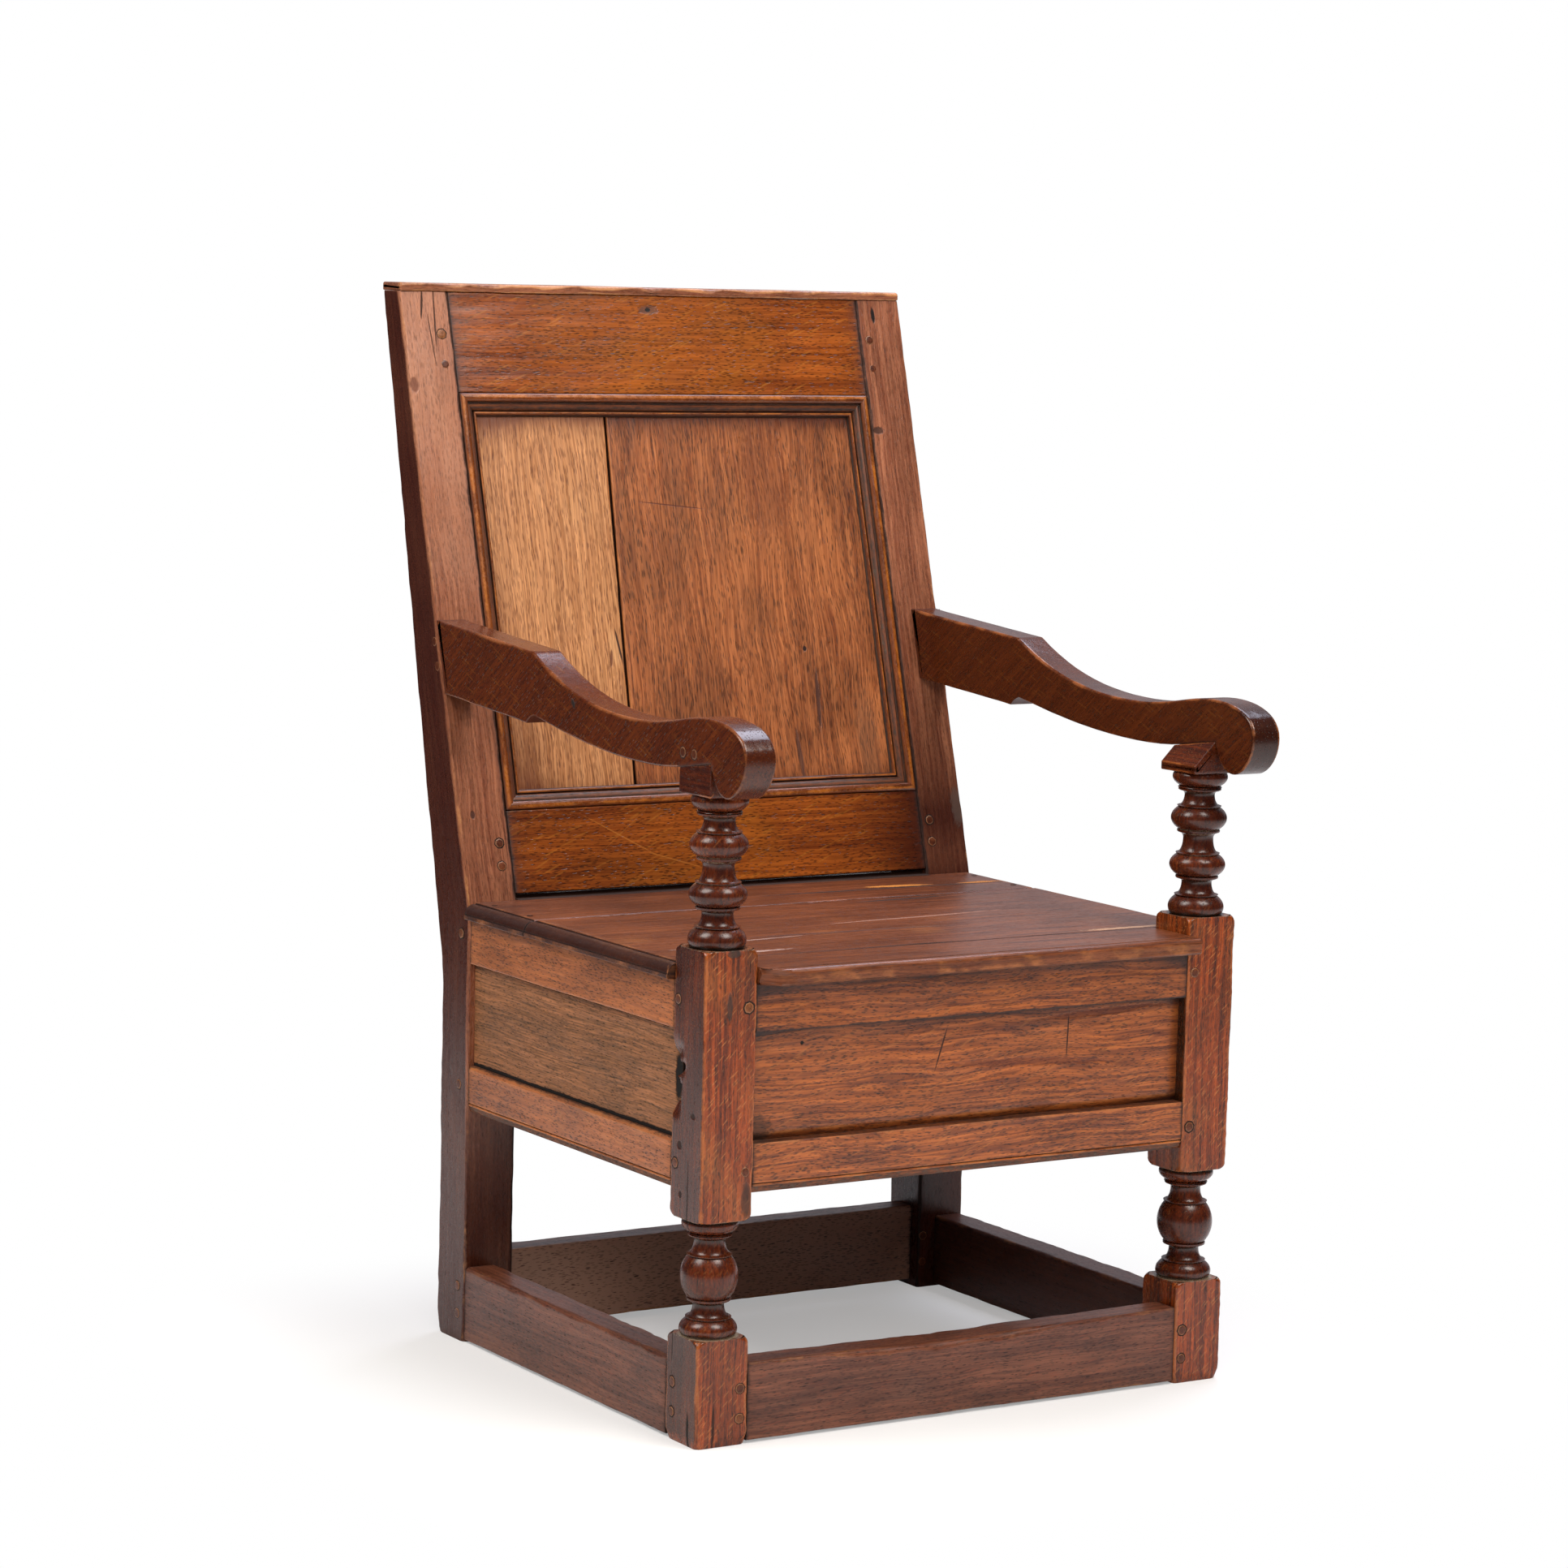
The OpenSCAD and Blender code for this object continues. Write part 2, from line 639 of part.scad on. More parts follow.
// A length of the moulding along Z at the side given by its inner direction, mitred at both ends
module moulding_length(half_run) {
    cut = moulding_w * 2;
    difference() {
        translate([0, 0, -half_run]) linear_extrude(2 * half_run) moulding_section();
        for (end = [-1, 1])
            translate([0, -cut / 2, end * half_run]) rotate([0, end > 0 ? 45 : -45, 0])
                translate([-cut, 0, end > 0 ? 0 : -cut]) cube([3 * cut, cut, cut]);
    }
}

module moulding_side(side) color("#6b3a20") stand() in_back_plane() on_side(side) difference() {
    half_run = (opening_top - opening_low) / 2;
    translate([stile_x, 0, opening_low + half_run]) mirror([1, 0, 0]) moulding_length(half_run);
    moulding_nail_set(fit_clear);
}

module moulding_end(end) color("#6b3a20") stand() in_back_plane() difference() {
    z = end == "top" ? opening_top : opening_low;
    translate([0, 0, z]) rotate([0, end == "top" ? 90 : -90, 0]) moulding_length(stile_x);
    moulding_nail_set(fit_clear);
}

// Brads through the quirk of the moulding into the back boards
module moulding_nail_set(gap = 0) {
    inset = 9.8 * section_k[0];
    depth = 3.3 * section_k[1];
    brad_d = 1.4;
    brad_l = moulding_d + 3;
    low = opening_low + inset;
    top = opening_top - inset;
    side = stile_x - inset;
    for (sx = [-1, 1], k = [0.2, 0.5, 0.8])
        nail([sx * side, depth, low + (top - low) * k], [-90, 0, 0], brad_l, brad_d, brad_d, gap);
    for (z = [low, top], k = [-0.55, 0, 0.55])
        nail([side * k, depth, z], [-90, 0, 0], brad_l, brad_d, brad_d, gap);
}

// Thin board nailed on top, with a rounded front edge and rounded ends
module cap_board() color("#7a4526") stand() difference() {
    front = front_y(stile_h) - cap_over;
    nose = 3;
    intersection() {
        along_x(-outer_x, outer_x)
            polygon(concat([[cap_back, stile_h], [cap_back, stile_h + cap_t]],
                [for (i = [0:curve_steps]) let (a = 90 + 90 * i / curve_steps)
                    [front + nose + nose * cos(a), stile_h + cap_t - nose + nose * sin(a)]],
                [[front, stile_h + 1.2], [front + 0.8, stile_h]]));
        along_y(front - 1, cap_back + 1)
            polygon(concat([[-outer_x, stile_h]],
                [for (i = [0:curve_steps]) let (a = 180 - 90 * i / curve_steps)
                    [-outer_x + nose + nose * cos(a), stile_h + cap_t - nose + nose * sin(a)]],
                [for (i = [0:curve_steps]) let (a = 90 - 90 * i / curve_steps)
                    [outer_x - nose + nose * cos(a), stile_h + cap_t - nose + nose * sin(a)]],
                [[outer_x, stile_h]]));
    }
    cap_nail_set(fit_clear);
}

module cap_nail_set(gap = 0) {
    y = front_y(stile_h) + 15;
    for (k = [-0.906, -0.302, 0.302, 0.906])
        nail([k * outer_x, y, stile_h + cap_t], [180, 0, 0], cap_t + 22, 6, 2.6, gap);
}

// ---------- arms ----------
// Height of a line with the arm's slope through a point, met by the stile's front
function meet_stile(y, z) = let (k = tan(arm_tilt))
    (back_y + (z - k * y - rail_top) * lean_k) / (1 - k * lean_k);

function arm_outline() = let (
        k = tan(arm_tilt),
        bend = [back_y - arm_bend_back, arm_z + 72],
        dip = [post_s + 85, arm_z + 27.5],
        crest = [8, arm_z + 40.7],
        nose = [-arm_reach, arm_z + 8],
        chin = [-28, arm_z - 28.5],
        heel = [0, arm_seat(0)],
        notch = [back_y - arm_bend_back - 5, arm_z + 11.5],
        cusp = [back_y - arm_bend_back + 10, arm_z + 2.5],
        top_y = meet_stile(bend[0], bend[1]),
        low_y = meet_stile(cusp[0], cusp[1]))
    concat([[top_y, bend[1] + k * (top_y - bend[0])], bend],
           bezier(bend, bend + [-60, -32], dip + [68, 0], dip),
           bezier(dip, dip + [-66, 0], crest + [42, -0.5], crest),
           bezier(crest, crest + [-34, 0], nose + [0, 24], nose),
           bezier(nose, nose + [0, -20], chin + [-15, 0], chin),
           bezier(chin, chin + [15, 0], heel + [-3, -13], heel),
           [[post_s, arm_seat(post_s)]],
           bezier([post_s, arm_seat(post_s)], [post_s + 62, arm_seat(post_s) - 8.5],
                  notch + [-110, -22], notch),
           bezier(notch, notch + [5, -1], cusp + [-4, 5], cusp),
           [[low_y, cusp[1] + k * (low_y - cusp[0])]]);

module arm(side) color("#542a1a") stand() on_side(side) difference() {
    union() {
        along_x(arm_x, outer_x) polygon(arm_outline());
        arm_rear_tenon();
    }
    post_top_tenon(joint_clear);
    arm_peg_set(fit_clear);
}

// ---------- seat box ----------
// Run moulding on the lower edge of a rail: face is the distance of the rail's face, s its outward sign
function run_profile(face, s, back) = [
    [face, lower_top], [face, box_low + run_h], [face - s * 1.6, box_low + run_h - 0.6],
    [face - s * 1.6, box_low + run_h - 1.8],
    for (i = [0:6]) let (a = 100 - 190 * i / 6)
        [face - s * (2 - 1.7 * cos(a)), box_low + run_h - 3.7 + 1.7 * sin(a)],
    [face - s * 2.6, box_low + run_h - 5.6],
    for (i = [0:5]) let (a = 90 * i / 5)
        [face - s * (2.6 + 4 * (1 - cos(a))), box_low + run_h - 5.6 - 3.4 * sin(a)],
    [face - s * 6.6, box_low], [back, box_low], [back, lower_top]];

module front_rail_finish() {
    front_panel_board(joint_clear);
    both_sides() front_box_peg_set(fit_clear);
    box_nail_set(fit_clear);
}

module front_upper_rail() color("#8a4a1d") stand() difference() {
    union() {
        block([-post_x, rail_set, upper_low], [post_x, rail_set + rail_t, rail_top]);
        both_sides() upper_tenon_span("front", 0);
    }
    front_rail_finish();
}

module front_lower_rail() color("#8a4a1d") stand() difference() {
    union() {
        along_x(-post_x, post_x) polygon(run_profile(rail_set, -1, rail_set + rail_t));
        both_sides() lower_tenon_span("front", 0);
    }
    front_rail_finish();
}

// Front panel, with a bevel along its bottom edge
module front_panel_board(gap = 0) {
    y = front_panel_y;
    side = post_x + groove_d - (gap > 0 ? 0 : 1);
    bevel = 6;
    if (gap > 0) block([-side, y - gap, panel_low], [side, y + panel_t + gap, panel_top + 1]);
    else along_x(-side, side)
        polygon([[y + 3, panel_low], [y + panel_t, panel_low], [y + panel_t, panel_top],
                 [y, panel_top], [y, panel_low + groove_d + bevel], [y + 3, panel_low + groove_d]]);
}

module front_panel() color("#8d5020") stand() front_panel_board();

module side_rail_finish() {
    side_panel_board(joint_clear);
    side_box_peg_set(fit_clear);
    box_nail_set(fit_clear);
    strip_nail_set(fit_clear);
}

module side_upper_rail(side) color("#87572f") stand() on_side(side) difference() {
    face = outer_x - rail_set;
    union() {
        along_y(post_s, back_y)
            polygon([[face, upper_low], [face, rail_top], [face - rail_t, rail_top],
                     [face - rail_t, upper_low]]);
        upper_tenon_span("side", 0);
    }
    side_rail_finish();
}

// The lower side rail has a small chamfer under its panel
module side_lower_rail(side) color("#87572f") stand() on_side(side) difference() {
    face = outer_x - rail_set;
    union() {
        difference() {
            along_y(post_s, back_y) polygon(run_profile(face, 1, face - rail_t));
            along_y(post_s - 1, back_y + 1)
                polygon([[face - 3, lower_top + 1], [face + 1, lower_top + 1], [face + 1, lower_top - 3],
                         [face, lower_top - 3], [face - 3, lower_top]]);
        }
        lower_tenon_span("side", 0);
    }
    side_rail_finish();
}

module side_panel_board(gap = 0) {
    loose = gap > 0 ? 0 : 1;
    block([side_panel_x - panel_t - gap, post_s - groove_d + loose, panel_low],
          [side_panel_x + gap, back_y + groove_d - loose, gap > 0 ? panel_top + 1 : panel_top]);
}

module side_panel(side) color("#7b6041") stand() on_side(side) side_panel_board();

module rear_panel_board(gap = 0) {
    side = stile_x + groove_d - (gap > 0 ? 0 : 1);
    block([-side, rear_panel_y - gap, panel_low],
          [side, rear_panel_y + panel_t + gap, gap > 0 ? panel_top + 1 : panel_top]);
}

module rear_panel() color("#5e4630") stand() rear_panel_board();

module rear_rail(low, high) color("#5e3b25") stand() difference() {
    union() {
        block([-stile_x, rear_rail_y, low], [stile_x, rear_rail_y + rail_t, high]);
        both_sides() children();
    }
    rear_panel_board(joint_clear);
    both_sides() rear_box_peg_set(fit_clear);
    box_nail_set(fit_clear);
    strip_nail_set(fit_clear);
}

module rear_upper_rail() rear_rail(upper_low, rail_top) upper_tenon_span("rear", 0);

module rear_lower_rail() rear_rail(box_low, lower_top) lower_tenon_span("rear", 0);

// ---------- floor of the box ----------
module bottom_bearer(y) color("#6d5038") stand() difference() {
    block([-post_x + 4, y, bearer_z], [post_x - 4, y + bearer_s, bottom_z]);
    box_nail_set(fit_clear);
}

module bottom_bearer_front() bottom_bearer(rail_set + rail_t);

module bottom_bearer_rear() bottom_bearer(rear_rail_y - bearer_s);

// Three boards from front to back; the outer two are notched round the posts and stiles
module box_bottom_boards() color("#6d5038") stand() {
    y0 = rail_set + rail_t + 0.5;
    y1 = rear_rail_y - 0.5;
    third = inner_x / 3;
    difference() {
        union() {
            block([-third + 0.5, y0, bottom_z], [third - 0.5, y1, bottom_z + bottom_t]);
            both_sides() {
                block([third + 0.5, y0, bottom_z], [post_x - 0.5, y1, bottom_z + bottom_t]);
                block([post_x - 1, post_s + 0.5, bottom_z],
                      [inner_x - 0.5, back_y - 0.5, bottom_z + bottom_t]);
            }
        }
        box_nail_set(fit_clear);
    }
}

// Nails down through the boards into the bearers, and through the bearers into the rails
module box_nail_set(gap = 0) {
    top = bottom_z + bottom_t;
    middle = bearer_s / 2;
    for (k = [0.22, 0.48, 0.775], sx = [-1, 1]) {
        x = sx * k * inner_x;
        nail([x, rail_set + rail_t + middle, top], [180, 0, 0], bottom_t + 14, 6, 2.6, gap);
        nail([x, rear_rail_y - middle, top], [180, 0, 0], bottom_t + 14, 6, 2.6, gap);
    }
    for (k = [-0.646, 0, 0.646]) {
        x = k * inner_x;
        nail([x, rail_set + rail_t + bearer_s, bearer_z + 8], [90, 0, 0], bearer_s + 14, 6, 2.6, gap);
        nail([x, rear_rail_y - bearer_s, bearer_z + 8], [-90, 0, 0], bearer_s + 14, 6, 2.6, gap);
    }
}

// ---------- stretchers ----------
// Feet have worn the front stretcher hollow: the cut is a wide cylinder that leans forward, deepest
// at the front arris in the middle, and runs out at both posts and at the rear arris
module foot_wear() {
    wear_r = (pow(post_x, 2) + pow(stretcher_wear, 2)) / (2 * stretcher_wear);
    past = 8;
    translate([0, rail_set, floor_gap + stretcher_w - stretcher_wear])
        rotate([atan(stretcher_wear / stretcher_t), 0, 0]) translate([0, -past, wear_r])
            rotate([-90, 0, 0]) cylinder(r = wear_r, h = stretcher_t + 2 * past, $fn = 720);
}

module stretcher_front() color("#63341f") stand() difference() {
    union() {
        block([-post_x, rail_set, floor_gap], [post_x, rail_set + stretcher_t, floor_gap + stretcher_w]);
        both_sides() front_stretcher_tenon();
    }
    foot_wear();
    both_sides() stretcher_peg_set(fit_clear);
}

module stretcher_rear() color("#3c2015") stand() difference() {
    y = back_y + rear_stretcher_set;
    union() {
        block([-stile_x, y, rear_floor_gap], [stile_x, y + stretcher_t, rear_floor_gap + rear_stretcher_w]);
        both_sides() rear_stretcher_tenon();
    }
    both_sides() stretcher_peg_set(fit_clear);
}

module stretcher_side(side) color("#5a3322") stand() on_side(side) difference() {
    union() {
        block([outer_x - rail_set - side_stretcher_t, post_s, floor_gap],
              [outer_x - rail_set, back_y, floor_gap + stretcher_w]);
        side_stretcher_tenons();
    }
    stretcher_peg_set(fit_clear);
}

// ---------- seat ----------
// Half section of a seat board: a sunk fillet on top, a quarter round and a small lip below
function seat_edge(low) = let (r = min(10, seat_t - 5), drop = 1.8, turn = seat_x - 1.2) concat(
    [[turn - r - 1, seat_z], [turn - r - 1, seat_z - drop]],
    [for (i = [0:curve_steps]) let (a = 90 - 90 * i / curve_steps)
        [turn - r + r * cos(a), seat_z - drop - r + r * sin(a)]],
    [[seat_x, seat_z - drop - r - 0.4], [seat_x, low + 0.8], [seat_x - 0.8, low]]);

module seat_section(low) {
    right = seat_edge(low);
    left = [for (i = [len(right) - 1:-1:0]) [-right[i][0], right[i][1]]];
    polygon(concat(right, left));
}

// Round arris at a joint across the seat: dir points from the board towards the joint
module joint_arris(y, dir) {
    along_x(-seat_x - 1, seat_x + 1)
        polygon(concat([[y + dir * 2, seat_z + 1], [y + dir * 2, seat_z - arris_r], [y, seat_z - arris_r]],
            [for (i = [1:curve_steps]) let (a = 90 * i / curve_steps)
                [y - dir * arris_r * (1 - cos(a)), seat_z - arris_r * (1 - sin(a))]],
            [[y - dir * arris_r, seat_z + 1]]));
}

module seat_back_strip() color("#7a4331") stand() difference() {
    union() {
        along_y(strip_front_y, back_y - joint_clear) seat_section(rail_top);
        block([-stile_x + joint_clear, back_y - 1, rail_top],
              [stile_x - joint_clear, back_y + strip_tuck, seat_z]);
    }
    joint_arris(strip_front_y, -1);
    hinge_pocket("seat");
    strip_nail_set(fit_clear);
}

module strip_nail_set(gap = 0) {
    both_sides()
        for (y = [lid_hinge_y + 25, back_y - 25])
            nail([outer_x - rail_set - rail_t / 2, y, seat_z], [180, 0, 0], seat_t + 14, 6, 2.6, gap);
}

module lid_main_board() color("#7a4331") stand() difference() {
    along_y(lid_joint_y, lid_rear_y) seat_section(lid_low);
    joint_arris(lid_rear_y, 1);
    hinge_pocket("lid");
    lid_nail_set(fit_clear);
}

// The front board lies between the posts; its front edge is a thumbnail with a sunk line behind it
module lid_front_board() color("#84492f") stand() difference() {
    y = -lid_front_over;
    r = 5;
    along_x(-post_x + 2 * lid_lift, post_x - 2 * lid_lift)
        polygon(concat([[lid_joint_y, lid_low], [lid_joint_y, seat_z], [y + 11.5, seat_z],
                        [y + 11, seat_z - 1.2], [y + 9.6, seat_z - 1.2], [y + 9, seat_z - 0.2]],
            [for (i = [0:curve_steps]) let (a = 90 + 90 * i / curve_steps)
                [y + r + r * cos(a), seat_z - 0.4 - r + r * sin(a)]],
            [[y, lid_low + 2], [y + 2, lid_low]]));
    lid_nail_set(fit_clear);
}

// A ledge across both lid boards, with sloped ends
module lid_batten(side) color("#6b4630") stand() on_side(side) difference() {
    y0 = batten_front_y;
    y1 = batten_rear_y;
    low = lid_low - batten_t;
    along_x(batten_x - batten_w / 2, batten_x + batten_w / 2)
        polygon([[y0, lid_low], [y1, lid_low], [y1, low + batten_slope], [y1 - batten_slope, low],
                 [y0 + batten_slope, low], [y0, low + batten_slope]]);
    lid_nail_set(fit_clear);
}

// Clenched nails up through the battens: one in the front board and three in the main board
module lid_nail_set(gap = 0) {
    both_sides()
        for (y = [lid_joint_y - 11, lid_joint_y + 25, lid_joint_y + 113, batten_rear_y - 15])
            nail([batten_x, y, lid_low - batten_t], [0, 0, 0], batten_t + lid_t - 3, 6, 2.6, gap);
}

// ---------- lid hinges ----------
// A round bar on the hinges' axis
module on_axis(from, length, d) {
    translate([from, lid_hinge_y, hinge_z]) rotate([0, 90, 0]) cylinder(d = d, h = length);
}

// Room for one side's leaf and for the knuckles, cut into the edge of a board
module hinge_pocket(body) {
    for (x = [-hinge_x, hinge_x]) translate([x, 0, 0]) {
        on_axis(-hinge_half - 1, 2 * hinge_half + 2, knuckle_d + 4 * lid_lift);
        hinge_leaf(body, fit_clear);
    }
    hinge_nail_set(body, fit_clear);
}

// One flat leaf, let into the edge of its board
module hinge_leaf(body, gap = 0) {
    y = body == "lid" ? lid_rear_y - leaf_t : strip_front_y;
    grown([-hinge_half, y, leaf_low], [hinge_half, y + leaf_t, hinge_z], gap);
}

// The seat's leaf carries the two outer knuckles and the lid's leaf the middle one. A leaf is cut
// wide where it passes the other half's knuckles, and just short of its own
module hinge_half_of(body) {
    free_d = knuckle_d + 2 * lid_lift;
    own_d = knuckle_d - 1;
    outer_l = body == "lid" ? knuckle_l + lid_lift : knuckle_l;
    middle_l = knuckle_l + 2 * lid_lift;
    difference() {
        union() {
            difference() {
                hinge_leaf(body);
                on_axis(-hinge_half - 1, outer_l + 1, body == "lid" ? free_d : own_d);
                on_axis(hinge_half - outer_l, outer_l + 1, body == "lid" ? free_d : own_d);
                on_axis(-middle_l / 2, middle_l, body == "lid" ? own_d : free_d);
            }
            if (body == "lid") on_axis(-knuckle_l / 2, knuckle_l, knuckle_d);
            if (body == "seat") {
                on_axis(-hinge_half, knuckle_l, knuckle_d);
                on_axis(hinge_half - knuckle_l, knuckle_l, knuckle_d);
            }
        }
        on_axis(-hinge_half - 1, 2 * hinge_half + 2, hinge_pin_d + 2 * fit_clear);
        for (x = [-hinge_x, hinge_x]) translate([x, 0, 0]) hinge_nail_set(body, fit_clear);
    }
}

module hinge_leaves_seat() color("#3b3835") stand()
    for (x = [-hinge_x, hinge_x]) translate([x, 0, 0]) hinge_half_of("seat");

module hinge_leaves_lid() color("#3b3835") stand()
    for (x = [-hinge_x, hinge_x]) translate([x, 0, 0]) hinge_half_of("lid");

// Pins with a small riveted head at each end
module hinge_pins() color("#4a4744") stand()
    for (x = [-hinge_x, hinge_x]) translate([x, 0, 0]) {
        head = 0.6;
        on_axis(-hinge_half, 2 * hinge_half, hinge_pin_d);
        on_axis(-hinge_half - head, head, hinge_pin_d + 1.6);
        on_axis(hinge_half, head, hinge_pin_d + 1.6);
    }

// Nails with countersunk heads, driven square into the boards' edges
module hinge_nail_set(body, gap = 0) {
    y = body == "lid" ? lid_rear_y : strip_front_y;
    for (x = [-hinge_x, hinge_x], dx = [-0.9, 0.9] * knuckle_l)
        translate([x + dx, y, leaf_low + 3]) rotate([body == "lid" ? 90 : -90, 0, 0]) {
            cylinder(d = 1.8 + 2 * gap, h = 18 + gap, $fn = 16);
            cylinder(d1 = 3.4 + 2 * gap, d2 = 1.8 + 2 * gap, h = leaf_t, $fn = 16);
        }
}

// ---------- fastenings as drawn pieces ----------
module back_pegs() color("#3a2318") stand() in_back_plane() both_sides() back_peg_set();

module box_front_pegs() color("#3a2318") stand() both_sides() front_box_peg_set();

module box_side_pegs() color("#3a2318") stand() both_sides() side_box_peg_set();

module rear_rail_pegs() color("#3a2318") stand() both_sides() rear_box_peg_set();

module stretcher_pegs() color("#3a2318") stand() both_sides() stretcher_peg_set();

module arm_pegs() color("#3a2318") stand() both_sides() arm_peg_set();

module cap_nails() color("#3b3835") stand() cap_nail_set();

module moulding_nails() color("#3b3835") stand() in_back_plane() moulding_nail_set();

module strip_nails() color("#3b3835") stand() strip_nail_set();

module lid_nails() color("#3b3835") stand() lid_nail_set();

module hinge_nails_seat() color("#3b3835") stand() hinge_nail_set("seat");

module hinge_nails_lid() color("#3b3835") stand() hinge_nail_set("lid");

module box_nails() color("#3b3835") stand() box_nail_set();

rear_stile("left");  // rear_stile_left
rear_stile("right");  // rear_stile_right
back_top_rail();
back_bottom_rail();
back_board("left");  // back_board_left
back_board("right");  // back_board_right
moulding_end("top");  // back_moulding_top
moulding_end("bottom");  // back_moulding_bottom
moulding_side("left");  // back_moulding_left
moulding_side("right");  // back_moulding_right
cap_board();
front_post("left");  // front_post_left
front_post("right");  // front_post_right
arm("left");  // arm_left
arm("right");  // arm_right
front_upper_rail();
front_lower_rail();
front_panel();
side_upper_rail("left");  // side_upper_rail_left
side_upper_rail("right");  // side_upper_rail_right
side_lower_rail("left");  // side_lower_rail_left
side_lower_rail("right");  // side_lower_rail_right
side_panel("left");  // side_panel_left
side_panel("right");  // side_panel_right
rear_upper_rail();
rear_lower_rail();
rear_panel();
stretcher_front();
stretcher_rear();
stretcher_side("left");  // stretcher_left
stretcher_side("right");  // stretcher_right
seat_back_strip();
lid_main_board();
lid_front_board();
lid_batten("left");  // lid_batten_left
lid_batten("right");  // lid_batten_right
hinge_leaves_seat();
hinge_leaves_lid();
hinge_pins();
box_bottom_boards();
bottom_bearer_front();
bottom_bearer_rear();
back_pegs();
box_front_pegs();
box_side_pegs();
rear_rail_pegs();
stretcher_pegs();
arm_pegs();
cap_nails();
moulding_nails();
strip_nails();
lid_nails();
hinge_nails_seat();
hinge_nails_lid();
box_nails();
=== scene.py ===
# Old joined oak armchair with a lifting seat: the worn shapes and the finish of every piece.
# Shapes are worked out in millimetres, with y = 0 at the fronts of the posts and z = 0 on the floor.
import bpy
import bmesh
import math
import numpy as np
from mathutils import Matrix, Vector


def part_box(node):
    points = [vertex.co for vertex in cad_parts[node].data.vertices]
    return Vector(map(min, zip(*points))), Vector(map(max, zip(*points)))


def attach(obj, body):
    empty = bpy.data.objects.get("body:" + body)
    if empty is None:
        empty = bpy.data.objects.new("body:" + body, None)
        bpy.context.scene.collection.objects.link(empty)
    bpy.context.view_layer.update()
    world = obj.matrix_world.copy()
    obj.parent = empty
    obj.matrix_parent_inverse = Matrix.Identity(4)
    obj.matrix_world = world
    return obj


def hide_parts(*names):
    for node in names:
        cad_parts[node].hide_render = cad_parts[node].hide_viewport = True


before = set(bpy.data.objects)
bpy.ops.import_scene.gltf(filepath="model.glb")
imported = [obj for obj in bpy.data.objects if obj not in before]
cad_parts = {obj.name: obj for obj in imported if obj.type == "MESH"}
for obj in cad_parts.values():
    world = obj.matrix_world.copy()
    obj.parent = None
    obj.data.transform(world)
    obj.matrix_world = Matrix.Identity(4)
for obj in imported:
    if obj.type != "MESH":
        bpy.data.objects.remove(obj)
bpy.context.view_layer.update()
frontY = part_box("front_post_left")[0].y * 1000  # where the posts' fronts stand in the frame

# Main lines of the joinery, in millimetres
chair = {
    "halfWidth": 298, "postSide": 55, "stileWidth": 54, "backY": 452, "rearY": 508, "railTop": 426,
    "seatTop": 442, "stileTop": 1037, "stileTopDepth": 35.5, "heelZ": 366, "boxLow": 233, "upperLow": 381,
    "lowerTop": 279, "leanDegrees": 15.8,
}
halfWidth, postSide, backY, rearY = (chair[key] for key in ("halfWidth", "postSide", "backY", "rearY"))
railTop, seatTop, stileTop = (chair[key] for key in ("railTop", "seatTop", "stileTop"))
boxLow, upperLow, lowerTop = (chair[key] for key in ("boxLow", "upperLow", "lowerTop"))
postX, stileX = halfWidth - postSide, halfWidth - chair["stileWidth"]
betweenPosts, betweenStiles = (-postX, postX), (-stileX, stileX)
sides = (("Left", -1), ("Right", 1))
lean = math.radians(chair["leanDegrees"])
upSlope = np.array([0, math.sin(lean), math.cos(lean)])
intoBack = np.array([0, math.cos(lean), -math.sin(lean)])
backOrigin, noOrigin = np.array([0, backY, railTop]), np.zeros(3)
xAxis, yAxis, zAxis = np.eye(3)
cornerKey = 300.0  # keeps the waves along a stick's corners apart
sharpDegrees = 42  # edges that turn more than this are shaded sharp

# A piece's own axes: origin, along its grain, across it, and into its thickness
backRailAxes = (backOrigin, xAxis, upSlope, intoBack)
backBoardAxes = (backOrigin, upSlope, xAxis, intoBack)
frontAxes = (noOrigin, xAxis, zAxis, yAxis)
sideAxes = (noOrigin, yAxis, zAxis, xAxis)
uprightAxes = (noOrigin, zAxis, xAxis, yAxis)


def frontLine(z):  # y of the stiles' fronts: upright to the seat, then leaning back
    return backY + 3 * np.logaddexp(0, (z - railTop) / 3) * math.tan(lean)


def alongSlope(z):  # distance up the back's slope, from the seat's underside
    return (z - railTop) / math.cos(lean)


def unit(vectors):
    return vectors / np.linalg.norm(vectors, axis=-1, keepdims=True)


def sweep(start, end, count):  # angles from start to end, given in degrees
    return np.radians(np.linspace(start, end, count))


def together(*columns):  # numbers and arrays side by side, as coordinates
    return np.stack(np.broadcast_arrays(*columns), -1)


def sections(along, *corners):  # a section's (across, depth) corners at each place along the piece
    return np.stack([together(*corner, along)[..., :2] for corner in corners], 1)


def bell(values, place, width):  # 1 at the place, falling in a round bell
    return np.exp(-((values - place) / width) ** 2)


def nearness(values, place, width):  # 1 at the place, falling from a sharp peak
    return np.exp(-np.abs(values - place) / width)


# The sum of a few sine waves in seeded directions, each about size long, scaled to lie mostly within 1
def waves(seed, points, size, count=6):
    rng = np.random.default_rng(seed)
    directions = unit(rng.normal(size=(count, points.shape[-1])))
    turns = rng.uniform(0.6, 1.7, count) * 2 * math.pi / size
    phases = rng.uniform(0, 2 * math.pi, count)
    return np.sin(points @ directions.T * turns + phases).sum(-1) / math.sqrt(2 * count)


